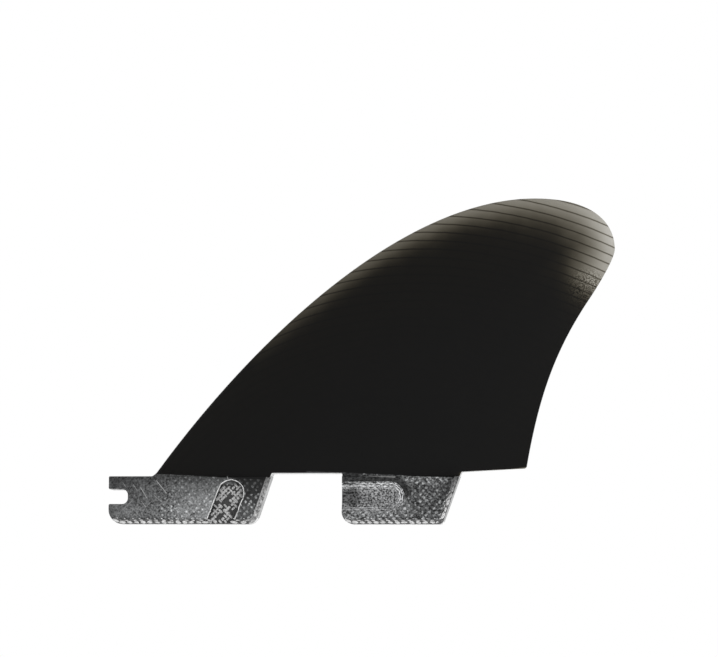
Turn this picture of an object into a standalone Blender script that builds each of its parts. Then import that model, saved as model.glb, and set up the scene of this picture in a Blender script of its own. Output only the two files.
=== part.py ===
"""A click-in surfboard fin, laid up in glass cloth and machined as one piece.

A swept blade stands over two tabs that slide into the box of a board. The origin is at the middle of the
flat base between the tabs. +X points to the tail of the board, +Z out along the blade, and the foiled outer
face looks along -Y. The inner face, on +Y, is flat.
"""

import math

import bmesh
import bpy
from mathutils import Vector
from mathutils.geometry import interpolate_bezier

MM = 0.001

# Levels, up from the flat base between the tabs
TAB_TOP_Z = -1.0 * MM
TAB_BOTTOM_Z = -16.4 * MM
CREST_Z = 89.0 * MM

# Blade outline, seen from the side
NOSE_X = -50.9 * MM  # where the leading edge lands on the front tab
NOSE_RAKE = math.radians(54)  # the leading edge there, from the base line
NOSE_PULL = 53.5 * MM
NOSE_FILLET = 2.2 * MM  # length of the root fillet along each side
CREST_X = 72.3 * MM
CREST_PULL_FRONT = 42.4 * MM
CREST_PULL_REAR = 18.8 * MM
REACH_X = 98.7 * MM  # rearmost point of the tip
REACH_Z = 72.3 * MM
REACH_PULL_UP = 8.9 * MM
REACH_PULL_DOWN = 3.0 * MM
HOLLOW_X = 90.7 * MM  # where the trailing edge turns from the tip's round into its long hollow
HOLLOW_Z = 56.5 * MM
HOLLOW_LEAN = math.radians(33.7)  # from upright
HOLLOW_PULL_UP = 4.6 * MM
HOLLOW_PULL_DOWN = 19.5 * MM
TAIL_X = 70.0 * MM  # trailing edge at the level of the tab tops
TAIL_LEAN = math.radians(9)
TAIL_PULL = 26.8 * MM
HEEL_RISE_FRONT = 0.5 * MM  # underside of the overhang behind the rear tab
HEEL_RISE_REAR = 1.7 * MM
HEEL_ROUND = 1.0 * MM
HEEL_CLEARING = math.radians(8)  # turns the heel's cut away from the trailing edge past its round

# Foil
ROOT_THICKNESS = 6.1 * MM
TIP_THICKNESS = 1.9 * MM
TRAILING_THICKNESS = 0.9 * MM
INNER_EDGE_ROUND = 0.4 * MM
THICKEST_AT = 0.36  # share of the chord behind the leading edge
TAPER_POWER = 0.85  # how the thickness falls from root to tip
REAR_POWER = 1.9  # how it falls from its thickest point to the trailing edge
TIP_ROUNDING = 0.12  # share of the span over which the tip thins to its edge

# Tabs
TAB_THICKNESS = 6.4 * MM
FRONT_TAB_FRONT_X = -64.5 * MM
FRONT_TAB_REAR_X = -11.1 * MM  # at the base line
FRONT_TAB_RAKE = math.radians(18.4)
FRONT_TAB_FRONT_ROUND = 4.5 * MM
FRONT_TAB_REAR_ROUND = 3.6 * MM
REAR_TAB_FRONT_X = 11.5 * MM
REAR_TAB_REAR_X = 49.8 * MM  # at the base line
REAR_TAB_RAKE = math.radians(19.6)
REAR_TAB_FRONT_ROUND = 4.0 * MM
REAR_TAB_REAR_ROUND = 1.7 * MM
SHOULDER_ROUND = 0.4 * MM
CHAMFER = 1.4 * MM  # along the bottom and rear edges
EDGE_BREAK = 0.3 * MM

# Notch in the front edge of the front tab
NOTCH_TOP_Z = -5.2 * MM
NOTCH_BOTTOM_Z = -10.0 * MM
NOTCH_DEPTH = 6.3 * MM
NOTCH_ROUND = 1.9 * MM
LIP_ROUND = 0.5 * MM

# Slanted groove in each face of the front tab
GROOVE_WIDTH = 8.5 * MM
GROOVE_DEPTH = 1.2 * MM
GROOVE_BOTTOM_X = -28.2 * MM  # middle of its open end
GROOVE_RAKE = math.radians(20.7)
GROOVE_TOP_Z = -2.2 * MM

# Scooped pocket in each face of the rear tab, open at the front edge
POCKET_LENGTH = 20.3 * MM
POCKET_HEIGHT = 9.6 * MM
POCKET_DEPTH = 1.6 * MM
POCKET_TOP_Z = -2.8 * MM

# The blade's root is full width down to the neck, where the tabs' chamfers end, and sinks on into the tabs
NECK_Z = -1.5 * MM
ROOT_SINK = 2.5 * MM  # below the tab tops
LEDGE = 0.15 * MM  # how far the tabs stand proud of the root

# Fineness of the mesh
STATIONS = 70
STATION_CROWDING = 1.25  # over 1 draws the sections together towards the root and the tip
OUTER_COLUMNS = 18
INNER_COLUMNS = 5
INNER_CROWDING = 3  # draws the inner face's columns towards the leading edge
LONG_CURVE_STEPS = 60
SHORT_CURVE_STEPS = 24
FILLET_STEPS = 12
FILLET_FULLNESS = 0.6  # share of the way from a fillet's ends to its corner at which its handles sit
STEPS_PER_TURN = 40
POCKET_SEGMENTS = 28
POCKET_RINGS = 20
SMOOTH_BELOW = math.radians(25)
FLAT_BELOW = math.radians(1)
OVERCUT = 3.0 * MM  # how far a cutter stands past what it cuts
WELD = 0.01 * MM


def unit(angle_from_x):
    """Unit vector in the side view, turned up from +X."""
    return Vector((math.cos(angle_from_x), math.sin(angle_from_x)))


def arc_of_corner(before, corner, after, radius):
    """Points that round one corner of a flat outline."""
    if radius <= 0:
        return [corner]
    to_before = (before - corner).normalized()
    to_after = (after - corner).normalized()
    half_angle = to_before.angle(to_after) / 2
    setback = radius / math.tan(half_angle)
    centre = corner + (to_before + to_after).normalized() * (radius / math.sin(half_angle))
    start = corner + to_before * setback - centre
    end = corner + to_after * setback - centre
    turn = start.angle_signed(end)
    steps = max(2, math.ceil(abs(turn) / (2 * math.pi) * STEPS_PER_TURN))
    points = []
    for step in range(steps + 1):
        angle = -turn * step / steps
        cosine = math.cos(angle)
        sine = math.sin(angle)
        turned = Vector((start.x * cosine - start.y * sine, start.x * sine + start.y * cosine))
        points.append(centre + turned)
    return points


def rounded_outline(corners):
    """Outline points from (x, z, radius) corners, each corner rounded by its radius."""
    places = [Vector((x, z)) for x, z, _ in corners]
    points = []
    for index, (_, _, radius) in enumerate(corners):
        before = places[index - 1]
        after = places[(index + 1) % len(places)]
        points += arc_of_corner(before, places[index], after, radius)
    return points


def plate(name, outline, thickness, middle_y=0.0):
    """Flat plate with this side-view outline, as a welded mesh object."""
    curve = bpy.data.curves.new(name, "CURVE")
    curve.dimensions = "2D"
    curve.fill_mode = "BOTH"
    curve.extrude = thickness / 2
    spline = curve.splines.new("POLY")
    spline.points.add(len(outline) - 1)
    for spline_point, place in zip(spline.points, outline):
        spline_point.co = (place.x, place.y, 0.0, 1.0)
    spline.use_cyclic_u = True
    guide = bpy.data.objects.new(name + "_outline", curve)
    guide.location = (0.0, middle_y, 0.0)
    guide.rotation_euler = (math.radians(90), 0.0, 0.0)
    bpy.context.scene.collection.objects.link(guide)
    bpy.context.view_layer.update()
    evaluated = guide.evaluated_get(bpy.context.evaluated_depsgraph_get())
    mesh = bpy.data.meshes.new_from_object(evaluated)
    mesh.name = name
    mesh.transform(guide.matrix_world)
    bpy.data.objects.remove(guide)
    bpy.data.curves.remove(curve)
    weld_and_face_out(mesh)
    return bpy.data.objects.new(name, mesh)


def weld_and_face_out(mesh):
    """Merges doubled points and turns every face outwards."""
    shape = bmesh.new()
    shape.from_mesh(mesh)
    bmesh.ops.remove_doubles(shape, verts=shape.verts, dist=WELD)
    bmesh.ops.recalc_face_normals(shape, faces=shape.faces)
    shape.to_mesh(mesh)
    shape.free()


def curve_points(start, start_handle, end_handle, end, steps=LONG_CURVE_STEPS):
    """Points along one Bezier piece of the blade's outline."""
    return interpolate_bezier(start, start_handle, end_handle, end, steps)


def spread(points, shares):
    """Points at these shares of the length of a line of points."""
    lengths = [0.0]
    for first, second in zip(points, points[1:]):
        lengths.append(lengths[-1] + (second - first).length)
    placed = []
    index = 0
    for share in shares:
        wanted = share * lengths[-1]
        while index < len(points) - 2 and lengths[index + 1] < wanted:
            index += 1
        span = lengths[index + 1] - lengths[index]
        placed.append(points[index].lerp(points[index + 1], (wanted - lengths[index]) / span))
    return placed


def blade_edges():
    """Leading and trailing edges of the blade, each from the root to the middle of the tip's round."""
    corner = Vector((NOSE_X, TAB_TOP_Z))
    rise = unit(NOSE_RAKE)
    landing = corner - Vector((NOSE_FILLET, LEDGE))
    nose = corner + rise * NOSE_FILLET
    crest = Vector((CREST_X, CREST_Z))
    reach = Vector((REACH_X, REACH_Z))
    hollow = Vector((HOLLOW_X, HOLLOW_Z))
    hollow_way = unit(math.pi / 2 - HOLLOW_LEAN)
    tail = Vector((TAIL_X, TAB_TOP_Z))
    tail_way = unit(math.pi / 2 - TAIL_LEAN)

    root_fillet = curve_points(
        landing, landing.lerp(corner, FILLET_FULLNESS), nose.lerp(corner, FILLET_FULLNESS), nose, FILLET_STEPS
    )
    leading = curve_points(nose, nose + rise * NOSE_PULL, crest - Vector((CREST_PULL_FRONT, 0)), crest)
    tip = curve_points(
        crest, crest + Vector((CREST_PULL_REAR, 0)), reach + Vector((0, REACH_PULL_UP)), reach
    )
    tip_rear = curve_points(
        reach, reach - Vector((0, REACH_PULL_DOWN)), hollow + hollow_way * HOLLOW_PULL_UP, hollow,
        SHORT_CURVE_STEPS
    )
    trailing = curve_points(
        hollow, hollow - hollow_way * HOLLOW_PULL_DOWN, tail + tail_way * TAIL_PULL, tail
    )
    middle = len(tip) // 2
    front_line = root_fillet + leading[1:] + tip[1:middle]
    rear_line = tip[middle - 1:] + tip_rear[1:] + trailing[1:]
    return front_line, rear_line[::-1]


def section_shape(share):
    """Height of the outer face over its edges, from 0 to 1, at this share of the chord."""
    if share < THICKEST_AT:
        return math.sqrt(1 - ((THICKEST_AT - share) / THICKEST_AT) ** 2)
    return 1 - ((share - THICKEST_AT) / (1 - THICKEST_AT)) ** REAR_POWER


def inner_edge_drop(distance):
    """How far the flat inner face curves away this far behind the leading edge."""
    inside = max(0.0, 1 - distance / INNER_EDGE_ROUND)
    return INNER_EDGE_ROUND * (1 - math.sqrt(1 - inside ** 2))


def blade_section(front, rear, thickness):
    """One ring of the foil: along the outer face from the leading edge, then back along the inner."""
    inner_y = TAB_THICKNESS / 2 - LEDGE
    chord = (rear - front).length
    ring = []
    for column in range(OUTER_COLUMNS + 1):
        share = 1 - math.cos(math.pi / 2 * column / OUTER_COLUMNS)
        shape = section_shape(share)
        edge = INNER_EDGE_ROUND if share < THICKEST_AT else TRAILING_THICKNESS
        place = front.lerp(rear, share)
        ring.append((place.x, inner_y - edge - (thickness - edge) * shape, place.y))
    for column in range(INNER_COLUMNS, 0, -1):
        distance = chord * (column / INNER_COLUMNS) ** INNER_CROWDING
        place = front.lerp(rear, distance / chord)
        ring.append((place.x, inner_y - inner_edge_drop(distance), place.y))
    return ring


def blade_thickness(share):
    """Greatest thickness of the section at this share of the span."""
    taper = TIP_THICKNESS + (ROOT_THICKNESS - TIP_THICKNESS) * (1 - share) ** TAPER_POWER
    past = max(0.0, (share - 1 + TIP_ROUNDING) / TIP_ROUNDING)
    return TRAILING_THICKNESS + (taper - TRAILING_THICKNESS) * math.sqrt(1 - past ** 2)


def build_blade():
    """Loft of foil sections between the leading and trailing edges, with a root that sinks into the tabs."""
    shares = [
        1 - (1 - (step / STATIONS) ** STATION_CROWDING) ** STATION_CROWDING for step in range(STATIONS)
    ]
    front_line, rear_line = blade_edges()
    fronts = spread(front_line, shares)
    rears = spread(rear_line, shares)
    sink = Vector((0, ROOT_SINK))
    rings = [blade_section(fronts[0] - sink, rears[0] - sink, ROOT_THICKNESS)]
    for share, front, rear in zip(shares, fronts, rears):
        rings.append(blade_section(front, rear, blade_thickness(share)))

    shape = bmesh.new()
    rows = [[shape.verts.new(place) for place in ring] for ring in rings]
    for lower, upper in zip(rows, rows[1:]):
        for index in range(len(lower)):
            after = (index + 1) % len(lower)
            shape.faces.new((lower[index], lower[after], upper[after], upper[index]))
    shape.faces.new(rows[0])
    shape.faces.new(rows[-1])
    mesh = bpy.data.meshes.new("blade")
    shape.to_mesh(mesh)
    shape.free()
    weld_and_face_out(mesh)
    return bpy.data.objects.new("blade", mesh)


def front_tab_rear_x(z):
    """The slanted rear edge of the front tab at this level."""
    return FRONT_TAB_REAR_X + z * math.tan(FRONT_TAB_RAKE)


def rear_tab_rear_x(z):
    """The slanted rear edge of the rear tab at this level."""
    return REAR_TAB_REAR_X + z * math.tan(REAR_TAB_RAKE)


def front_tab_outline():
    """Front tab with its horn, notch and lip."""
    notch_end = FRONT_TAB_FRONT_X + NOTCH_DEPTH
    return rounded_outline([
        (FRONT_TAB_FRONT_X, TAB_TOP_Z, SHOULDER_ROUND),
        (FRONT_TAB_FRONT_X, NOTCH_TOP_Z, LIP_ROUND),
        (notch_end, NOTCH_TOP_Z, NOTCH_ROUND),
        (notch_end, NOTCH_BOTTOM_Z, NOTCH_ROUND),
        (FRONT_TAB_FRONT_X, NOTCH_BOTTOM_Z, LIP_ROUND),
        (FRONT_TAB_FRONT_X, TAB_BOTTOM_Z, FRONT_TAB_FRONT_ROUND),
        (front_tab_rear_x(TAB_BOTTOM_Z), TAB_BOTTOM_Z, FRONT_TAB_REAR_ROUND),
        (front_tab_rear_x(TAB_TOP_Z), TAB_TOP_Z, 0),
    ])


def rear_tab_outline():
    """Rear tab, upright in front and slanted behind."""
    return rounded_outline([
        (REAR_TAB_FRONT_X, TAB_TOP_Z, 0),
        (REAR_TAB_FRONT_X, TAB_BOTTOM_Z, REAR_TAB_FRONT_ROUND),
        (rear_tab_rear_x(TAB_BOTTOM_Z), TAB_BOTTOM_Z, REAR_TAB_REAR_ROUND),
        (rear_tab_rear_x(TAB_TOP_Z), TAB_TOP_Z, 0),
    ])


def build_tab(name, outline):
    """Plate whose bottom and rear edges are chamfered and whose other edges are just broken."""
    tab = plate(name, outline, TAB_THICKNESS)
    shape = bmesh.new()
    shape.from_mesh(tab.data)
    bmesh.ops.dissolve_limit(shape, angle_limit=FLAT_BELOW, verts=shape.verts, edges=shape.edges)
    weights = shape.edges.layers.float.new("bevel_weight_edge")
    for edge in shape.edges:
        side = next((face for face in edge.link_faces if abs(face.normal.y) < 0.5), None)
        cap = next((face for face in edge.link_faces if abs(face.normal.y) > 0.5), None)
        if side is None or cap is None:
            continue
        middle = (edge.verts[0].co + edge.verts[1].co) / 2
        in_notch = middle.z > NOTCH_BOTTOM_Z - WELD and middle.x < FRONT_TAB_FRONT_X + NOTCH_DEPTH + WELD
        if in_notch or side.normal.z > 0.5:
            width = EDGE_BREAK
        elif side.normal.x > 0:
            width = CHAMFER
        else:
            width = EDGE_BREAK + (CHAMFER - EDGE_BREAK) * max(0.0, -side.normal.z)
        edge[weights] = width / CHAMFER
    shape.to_mesh(tab.data)
    shape.free()
    bevel = tab.modifiers.new("edges", "BEVEL")
    bevel.limit_method = "WEIGHT"
    bevel.width = CHAMFER
    bevel.segments = 1
    bevel.use_clamp_overlap = False
    return tab


def gap_outline():
    """The space between the tabs, up to the flat base, for trimming the blade's root."""
    low = TAB_TOP_Z - ROOT_SINK - OVERCUT
    return rounded_outline([
        (front_tab_rear_x(low) - CHAMFER - LEDGE, low, 0),
        (REAR_TAB_FRONT_X + EDGE_BREAK + LEDGE, low, 0),
        (REAR_TAB_FRONT_X + EDGE_BREAK + LEDGE, NECK_Z, 0),
        (REAR_TAB_FRONT_X + LEDGE, NECK_Z, 0),
        (REAR_TAB_FRONT_X + LEDGE, 0, SHOULDER_ROUND),
        (front_tab_rear_x(0) - LEDGE, 0, SHOULDER_ROUND),
        (front_tab_rear_x(NECK_Z) - LEDGE, NECK_Z, 0),
        (front_tab_rear_x(NECK_Z) - CHAMFER - LEDGE, NECK_Z, 0),
    ])


def heel_outline():
    """The space behind the rear tab, up to the rising underside of the overhang."""
    low = TAB_TOP_Z - ROOT_SINK - OVERCUT
    beyond = TAIL_X + 2 * OVERCUT
    corner = Vector((TAIL_X + (HEEL_RISE_REAR - TAB_TOP_Z) * math.tan(TAIL_LEAN), HEEL_RISE_REAR))
    clear = corner + unit(math.pi / 2 - TAIL_LEAN - HEEL_CLEARING) * 2 * HEEL_ROUND
    return rounded_outline([
        (rear_tab_rear_x(low) - CHAMFER - LEDGE, low, 0),
        (beyond, low, 0),
        (beyond, clear.y, 0),
        (clear.x, clear.y, 0),
        (corner.x, corner.y, HEEL_ROUND),
        (rear_tab_rear_x(HEEL_RISE_FRONT) - LEDGE, HEEL_RISE_FRONT, SHOULDER_ROUND),
        (rear_tab_rear_x(NECK_Z) - LEDGE, NECK_Z, 0),
        (rear_tab_rear_x(NECK_Z) - CHAMFER - LEDGE, NECK_Z, 0),
    ])


def groove_outline():
    """Slanted groove with a round top, open past the tab's bottom edge."""
    way = unit(math.pi / 2 - GROOVE_RAKE)
    across = Vector((way.y, -way.x))
    radius = GROOVE_WIDTH / 2
    foot = Vector((GROOVE_BOTTOM_X, TAB_BOTTOM_Z))
    length = (GROOVE_TOP_Z - radius - TAB_BOTTOM_Z) / way.y
    centre = foot + way * length
    low = foot - way * OVERCUT
    points = [low + across * radius]
    steps = STEPS_PER_TURN // 2
    for step in range(steps + 1):
        angle = math.pi * step / steps
        points.append(centre + across * radius * math.cos(angle) + way * radius * math.sin(angle))
    points.append(low - across * radius)
    return points


def build_groove_cutter(side):
    """Cutter for the groove of one face; side is -1 for the outer face and 1 for the inner."""
    face_y = side * TAB_THICKNESS / 2
    thickness = GROOVE_DEPTH + OVERCUT
    middle = face_y + side * (thickness / 2 - GROOVE_DEPTH)
    return plate(f"groove_{'inner' if side > 0 else 'outer'}", groove_outline(), thickness, middle)


def build_pocket_cutter(side):
    """Cutter for the scoop of one face: a flattened ball drawn out through the front edge."""
    radius = POCKET_HEIGHT / 2
    shape = bmesh.new()
    bmesh.ops.create_uvsphere(
        shape, u_segments=POCKET_SEGMENTS, v_segments=POCKET_RINGS, radius=radius
    )
    for vert in shape.verts:
        vert.co.y *= POCKET_DEPTH / radius
        if vert.co.x < -WELD:
            vert.co.x -= POCKET_LENGTH + OVERCUT
    name = f"pocket_{'inner' if side > 0 else 'outer'}"
    mesh = bpy.data.meshes.new(name)
    shape.to_mesh(mesh)
    shape.free()
    cutter = bpy.data.objects.new(name, mesh)
    end_x = REAR_TAB_FRONT_X + POCKET_LENGTH
    cutter.location = (end_x - radius, side * TAB_THICKNESS / 2, POCKET_TOP_Z - radius)
    return cutter


def add_boolean(target, other, operation):
    """Adds one exact Boolean to the target."""
    modifier = target.modifiers.new(other.name, "BOOLEAN")
    modifier.operation = operation
    modifier.solver = "EXACT"
    modifier.object = other


def laminate_material():
    """Near-black tinted glass laminate with a satin face."""
    material = bpy.data.materials.new("smoked_glass_laminate")
    material.use_nodes = True
    shader = material.node_tree.nodes["Principled BSDF"]
    shader.inputs["Base Color"].default_value = (0.011, 0.011, 0.011, 1.0)
    shader.inputs["Roughness"].default_value = 0.4
    shader.inputs["Metallic"].default_value = 0.0
    return material


def finish_fin(shaped):
    """The shaped blade as one plain mesh with smooth faces and crisp edges."""
    bpy.context.view_layer.update()
    evaluated = shaped.evaluated_get(bpy.context.evaluated_depsgraph_get())
    mesh = bpy.data.meshes.new_from_object(evaluated)
    mesh.name = "fin"
    mesh.materials.clear()
    mesh.materials.append(laminate_material())
    mesh.shade_smooth()
    mesh.set_sharp_from_angle(angle=SMOOTH_BELOW)
    return bpy.data.objects.new("fin", mesh)


def clear_scene():
    """Removes what the start-up scene holds."""
    for leftover in list(bpy.data.objects):
        bpy.data.objects.remove(leftover)


def new_collection(name):
    """A collection under the scene's own."""
    collection = bpy.data.collections.new(name)
    bpy.context.scene.collection.children.link(collection)
    return collection


def main():
    """Shapes the blade and tabs, joins them and cuts the grooves and pockets."""
    clear_scene()
    parts = new_collection("surfboard_fin")
    helpers = new_collection("shaping_helpers")
    helpers.hide_render = True

    blade = build_blade()
    steps = [
        (plate("gap", gap_outline(), TAB_THICKNESS + OVERCUT), "DIFFERENCE"),
        (plate("heel", heel_outline(), TAB_THICKNESS + OVERCUT), "DIFFERENCE"),
        (build_tab("front_tab", front_tab_outline()), "UNION"),
        (build_tab("rear_tab", rear_tab_outline()), "UNION"),
    ]
    steps += [(build_groove_cutter(side), "DIFFERENCE") for side in (-1, 1)]
    steps += [(build_pocket_cutter(side), "DIFFERENCE") for side in (-1, 1)]
    for helper, operation in steps:
        helper.hide_render = True
        helper.display_type = "WIRE"
        helpers.objects.link(helper)
        add_boolean(blade, helper, operation)
    blade.hide_render = True
    blade.display_type = "WIRE"
    helpers.objects.link(blade)
    parts.objects.link(finish_fin(blade))


main()
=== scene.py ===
"""Looks of a click-in surfboard fin: a smoked, foiled blade over two bare tabs of woven glass.

The frame gives the solid. This script lays a finer model over it, on the same sizes, and dresses it: the
blade is lofted by a Geometry Nodes tool, the tabs are cut from plates, and small tools lay the rovings that
the cutter laid bare. Everything is in metres in the frame's own axes: +X to the tail, +Z out along the
blade, and the foiled outer face towards -Y.
"""

import logging
import math
from collections.abc import Mapping, Sequence
from dataclasses import dataclass
from enum import Enum

import bmesh
import bpy
from bpy.types import ID, Material, Mesh, Node, NodeSocket, NodeTree, Object
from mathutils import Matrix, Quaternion, Vector
from mathutils.geometry import interpolate_bezier


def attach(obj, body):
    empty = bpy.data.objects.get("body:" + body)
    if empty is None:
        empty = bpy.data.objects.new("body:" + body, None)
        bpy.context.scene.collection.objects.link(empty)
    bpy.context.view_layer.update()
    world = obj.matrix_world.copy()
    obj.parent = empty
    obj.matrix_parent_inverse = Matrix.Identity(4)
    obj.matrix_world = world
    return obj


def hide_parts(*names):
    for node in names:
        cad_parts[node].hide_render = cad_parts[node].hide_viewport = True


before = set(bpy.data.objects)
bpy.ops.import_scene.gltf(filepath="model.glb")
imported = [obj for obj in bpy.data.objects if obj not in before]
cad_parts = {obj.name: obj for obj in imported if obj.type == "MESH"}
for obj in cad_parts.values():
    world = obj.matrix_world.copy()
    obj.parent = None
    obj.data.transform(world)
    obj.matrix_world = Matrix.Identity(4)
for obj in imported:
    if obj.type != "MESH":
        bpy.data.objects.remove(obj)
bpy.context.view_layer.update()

LOG = logging.getLogger("fin")
MM = 0.001
HALF_TURN = math.pi
BODY = "root"
NODE = "fin"
WELD = 0.002 * MM
FACING = 0.5  # A face looks along an axis when its normal's part on that axis is greater.
BOTH_SIDES = (-1, 1)

Point = tuple[float, float]
Triple = tuple[float, float, float]
Colour = tuple[float, float, float, float]


def grey(level: float) -> Colour:
    """Neutral colour of this linear level."""
    return (level, level, level, 1.0)


# Node trees


class Signal:
    """One number in a node tree. Python's operators add Math nodes to the tree."""

    def __init__(self, canvas: "Canvas", socket: NodeSocket) -> None:
        """Wraps an output socket that gives a number in this tree."""
        self.canvas = canvas
        self.socket = socket

    def math(self, operation: str, *others: "Signal | float") -> "Signal":
        """Result of a new Math node on this and its other values."""
        return self.canvas.math(operation, self, *others)

    def __add__(self, other: "Signal | float") -> "Signal":
        """Sum."""
        return self.math("ADD", other)

    __radd__ = __add__

    def __sub__(self, other: "Signal | float") -> "Signal":
        """Difference."""
        return self.math("SUBTRACT", other)

    def __rsub__(self, other: float) -> "Signal":
        """Difference from a number."""
        return self.canvas.math("SUBTRACT", other, self)

    def __mul__(self, other: "Signal | float") -> "Signal":
        """Product."""
        return self.math("MULTIPLY", other)

    __rmul__ = __mul__

    def __truediv__(self, other: "Signal | float") -> "Signal":
        """Quotient."""
        return self.math("DIVIDE", other)

    def __rtruediv__(self, other: float) -> "Signal":
        """Quotient of a number by this."""
        return self.canvas.math("DIVIDE", other, self)

    def __pow__(self, other: "Signal | float") -> "Signal":
        """Power."""
        return self.math("POWER", other)

    def __abs__(self) -> "Signal":
        """Size without sign."""
        return self.math("ABSOLUTE")

    def root(self) -> "Signal":
        """Square root."""
        return self.math("SQRT")

    def sine(self) -> "Signal":
        """Sine of this many radians."""
        return self.math("SINE")

    def fraction(self) -> "Signal":
        """What is left over a whole number."""
        return self.math("FRACT")

    def at_least(self, other: "Signal | float") -> "Signal":
        """The greater of the two."""
        return self.math("MAXIMUM", other)

    def at_most(self, other: "Signal | float") -> "Signal":
        """The smaller of the two."""
        return self.math("MINIMUM", other)

    def above(self, other: "Signal | float") -> "Signal":
        """1 where this is greater, else 0."""
        return self.math("GREATER_THAN", other)

    def rise(self, low: float, high: float) -> "Signal":
        """Smooth step.

        Args:
            low: the value that gives 0.
            high: the value that gives 1; it may be the smaller one.

        Returns:
            A number from 0 to 1.
        """
        if low > high:
            return 1 - self.rise(high, low)
        node = self.canvas.node(
            "ShaderNodeMapRange",
            {"interpolation_type": "SMOOTHSTEP"},
            {"Value": self, "From Min": low, "From Max": high},
        )
        return Signal(self.canvas, node.outputs[0])

    def decay(self) -> "Signal":
        """Falls from 1 at 0 by the factor e for each unit."""
        return (self * -1).math("EXPONENT")


class Canvas:
    """Adds nodes to one tree: a material's, the world's or a Geometry Nodes tool's."""

    def __init__(self, tree: NodeTree) -> None:
        """Starts on the tree to add to."""
        self.tree = tree

    def node(
        self,
        kind: str,
        settings: Mapping[str, object] | None = None,
        inputs: Mapping[str | int, object] | None = None,
    ) -> Node:
        """Adds a node.

        Args:
            kind: the node's type.
            settings: properties to set first.
            inputs: a value, socket or Signal for each named or numbered input.

        Returns:
            The node.
        """
        made = self.tree.nodes.new(kind)
        for name, value in (settings or {}).items():
            setattr(made, name, value)
        for key, value in (inputs or {}).items():
            self.feed(made.inputs[key], value)
        return made

    def feed(self, socket: NodeSocket, value: object) -> None:
        """Links or sets one input.

        Args:
            socket: the input.
            value: a Signal, an output socket or a plain value.
        """
        if isinstance(value, Signal):
            value = value.socket
        if isinstance(value, NodeSocket):
            self.tree.links.new(value, socket)
        else:
            socket.default_value = value

    def signal(self, node: Node, output: str | int = 0) -> Signal:
        """One output of a node as a Signal."""
        return Signal(self, node.outputs[output])

    def math(self, operation: str, *values: "Signal | float") -> Signal:
        """Result of a new Math node on these values in order."""
        node = self.node("ShaderNodeMath", {"operation": operation}, dict(enumerate(values)))
        return self.signal(node)

    def split(self, vector: NodeSocket) -> tuple[Signal, Signal, Signal]:
        """The three parts of a vector."""
        node = self.node("ShaderNodeSeparateXYZ", inputs={0: vector})
        return self.signal(node, 0), self.signal(node, 1), self.signal(node, 2)

    def join(self, x: "Signal | float", y: "Signal | float", z: "Signal | float") -> NodeSocket:
        """A vector from its three parts."""
        return self.node("ShaderNodeCombineXYZ", inputs={0: x, 1: y, 2: z}).outputs[0]

    def noise(self, vector: NodeSocket, size: float, detail: float = 2.0, roughness: float = 0.5) -> Signal:
        """Soft noise around one half.

        Args:
            vector: where it is read.
            size: how wide its blots are, in the vector's units.
            detail: how many finer layers lie over them.
            roughness: how strong those are.

        Returns:
            A number from 0 to 1.
        """
        node = self.node(
            "ShaderNodeTexNoise",
            inputs={"Vector": vector, "Scale": 1 / size, "Detail": detail, "Roughness": roughness},
        )
        return self.signal(node)

    def mix(self, share: "Signal | float", first: object, second: object) -> NodeSocket:
        """Blend of two colours or colour sockets, by the second one's share."""
        node = self.node("ShaderNodeMix", {"data_type": "RGBA"}, {0: share, 6: first, 7: second})
        return node.outputs[2]


class InputKind(Enum):
    """Kinds of input that a shape tool takes."""

    LENGTH = "NodeSocketFloat"
    COUNT = "NodeSocketInt"
    OBJECT = "NodeSocketObject"
    MATERIAL = "NodeSocketMaterial"


class ShapeTool:
    """A Geometry Nodes tree with named inputs, which is run into a plain mesh."""

    def __init__(self, name: str) -> None:
        """Starts an empty tool.

        Args:
            name: the tree's name.
        """
        self.tree = bpy.data.node_groups.new(name, "GeometryNodeTree")
        self.identifiers: dict[str, str] = {}
        self.canvas = Canvas(self.tree)
        self.tree.interface.new_socket("Geometry", in_out="OUTPUT", socket_type="NodeSocketGeometry")
        self.tree.interface.new_socket("Geometry", in_out="INPUT", socket_type="NodeSocketGeometry")
        self.entry = self.tree.nodes.new("NodeGroupInput")
        self.exit = self.tree.nodes.new("NodeGroupOutput")

    def take(self, name: str, kind: InputKind = InputKind.LENGTH) -> Signal:
        """Adds a named input.

        Args:
            name: what it is called.
            kind: what it takes.

        Returns:
            Its value inside the tree.
        """
        item = self.tree.interface.new_socket(name, in_out="INPUT", socket_type=kind.value)
        self.identifiers[name] = item.identifier
        return Signal(self.canvas, self.entry.outputs[name])

    def shape_of(self, item: Signal) -> NodeSocket:
        """The geometry of an object input."""
        return self.canvas.node("GeometryNodeObjectInfo", inputs={"Object": item}).outputs["Geometry"]

    def close(self, geometry: NodeSocket) -> None:
        """Ends the tree with real faces and a material.

        Args:
            geometry: what the tool has made.
        """
        material = self.take("Material", InputKind.MATERIAL)
        real = self.canvas.node("GeometryNodeRealizeInstances", inputs={"Geometry": geometry})
        dressed = self.canvas.node(
            "GeometryNodeSetMaterial", inputs={"Geometry": real.outputs[0], "Material": material}
        )
        self.canvas.feed(self.exit.inputs[0], dressed.outputs[0])

    def run(self, name: str, values: Mapping[str, object]) -> Mesh:
        """Runs the tool.

        Args:
            name: the mesh's name.
            values: a value for each named input.

        Returns:
            The result as a plain mesh.
        """
        holder = in_scene(name, bpy.data.meshes.new(name + "_start"))
        modifier = holder.modifiers.new(self.tree.name, "NODES")
        modifier.node_group = self.tree
        for key, identifier in self.identifiers.items():
            modifier[identifier] = values[key]
        mesh = plain_mesh(holder, name)
        bpy.data.objects.remove(holder)
        return mesh


def in_scene(name: str, data: ID) -> Object:
    """Makes an object of some data.

    Args:
        name: its name.
        data: a mesh, a curve, a lamp's or a camera's data.

    Returns:
        The object, linked to the scene.
    """
    made = bpy.data.objects.new(name, data)
    bpy.context.scene.collection.objects.link(made)
    return made


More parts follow.
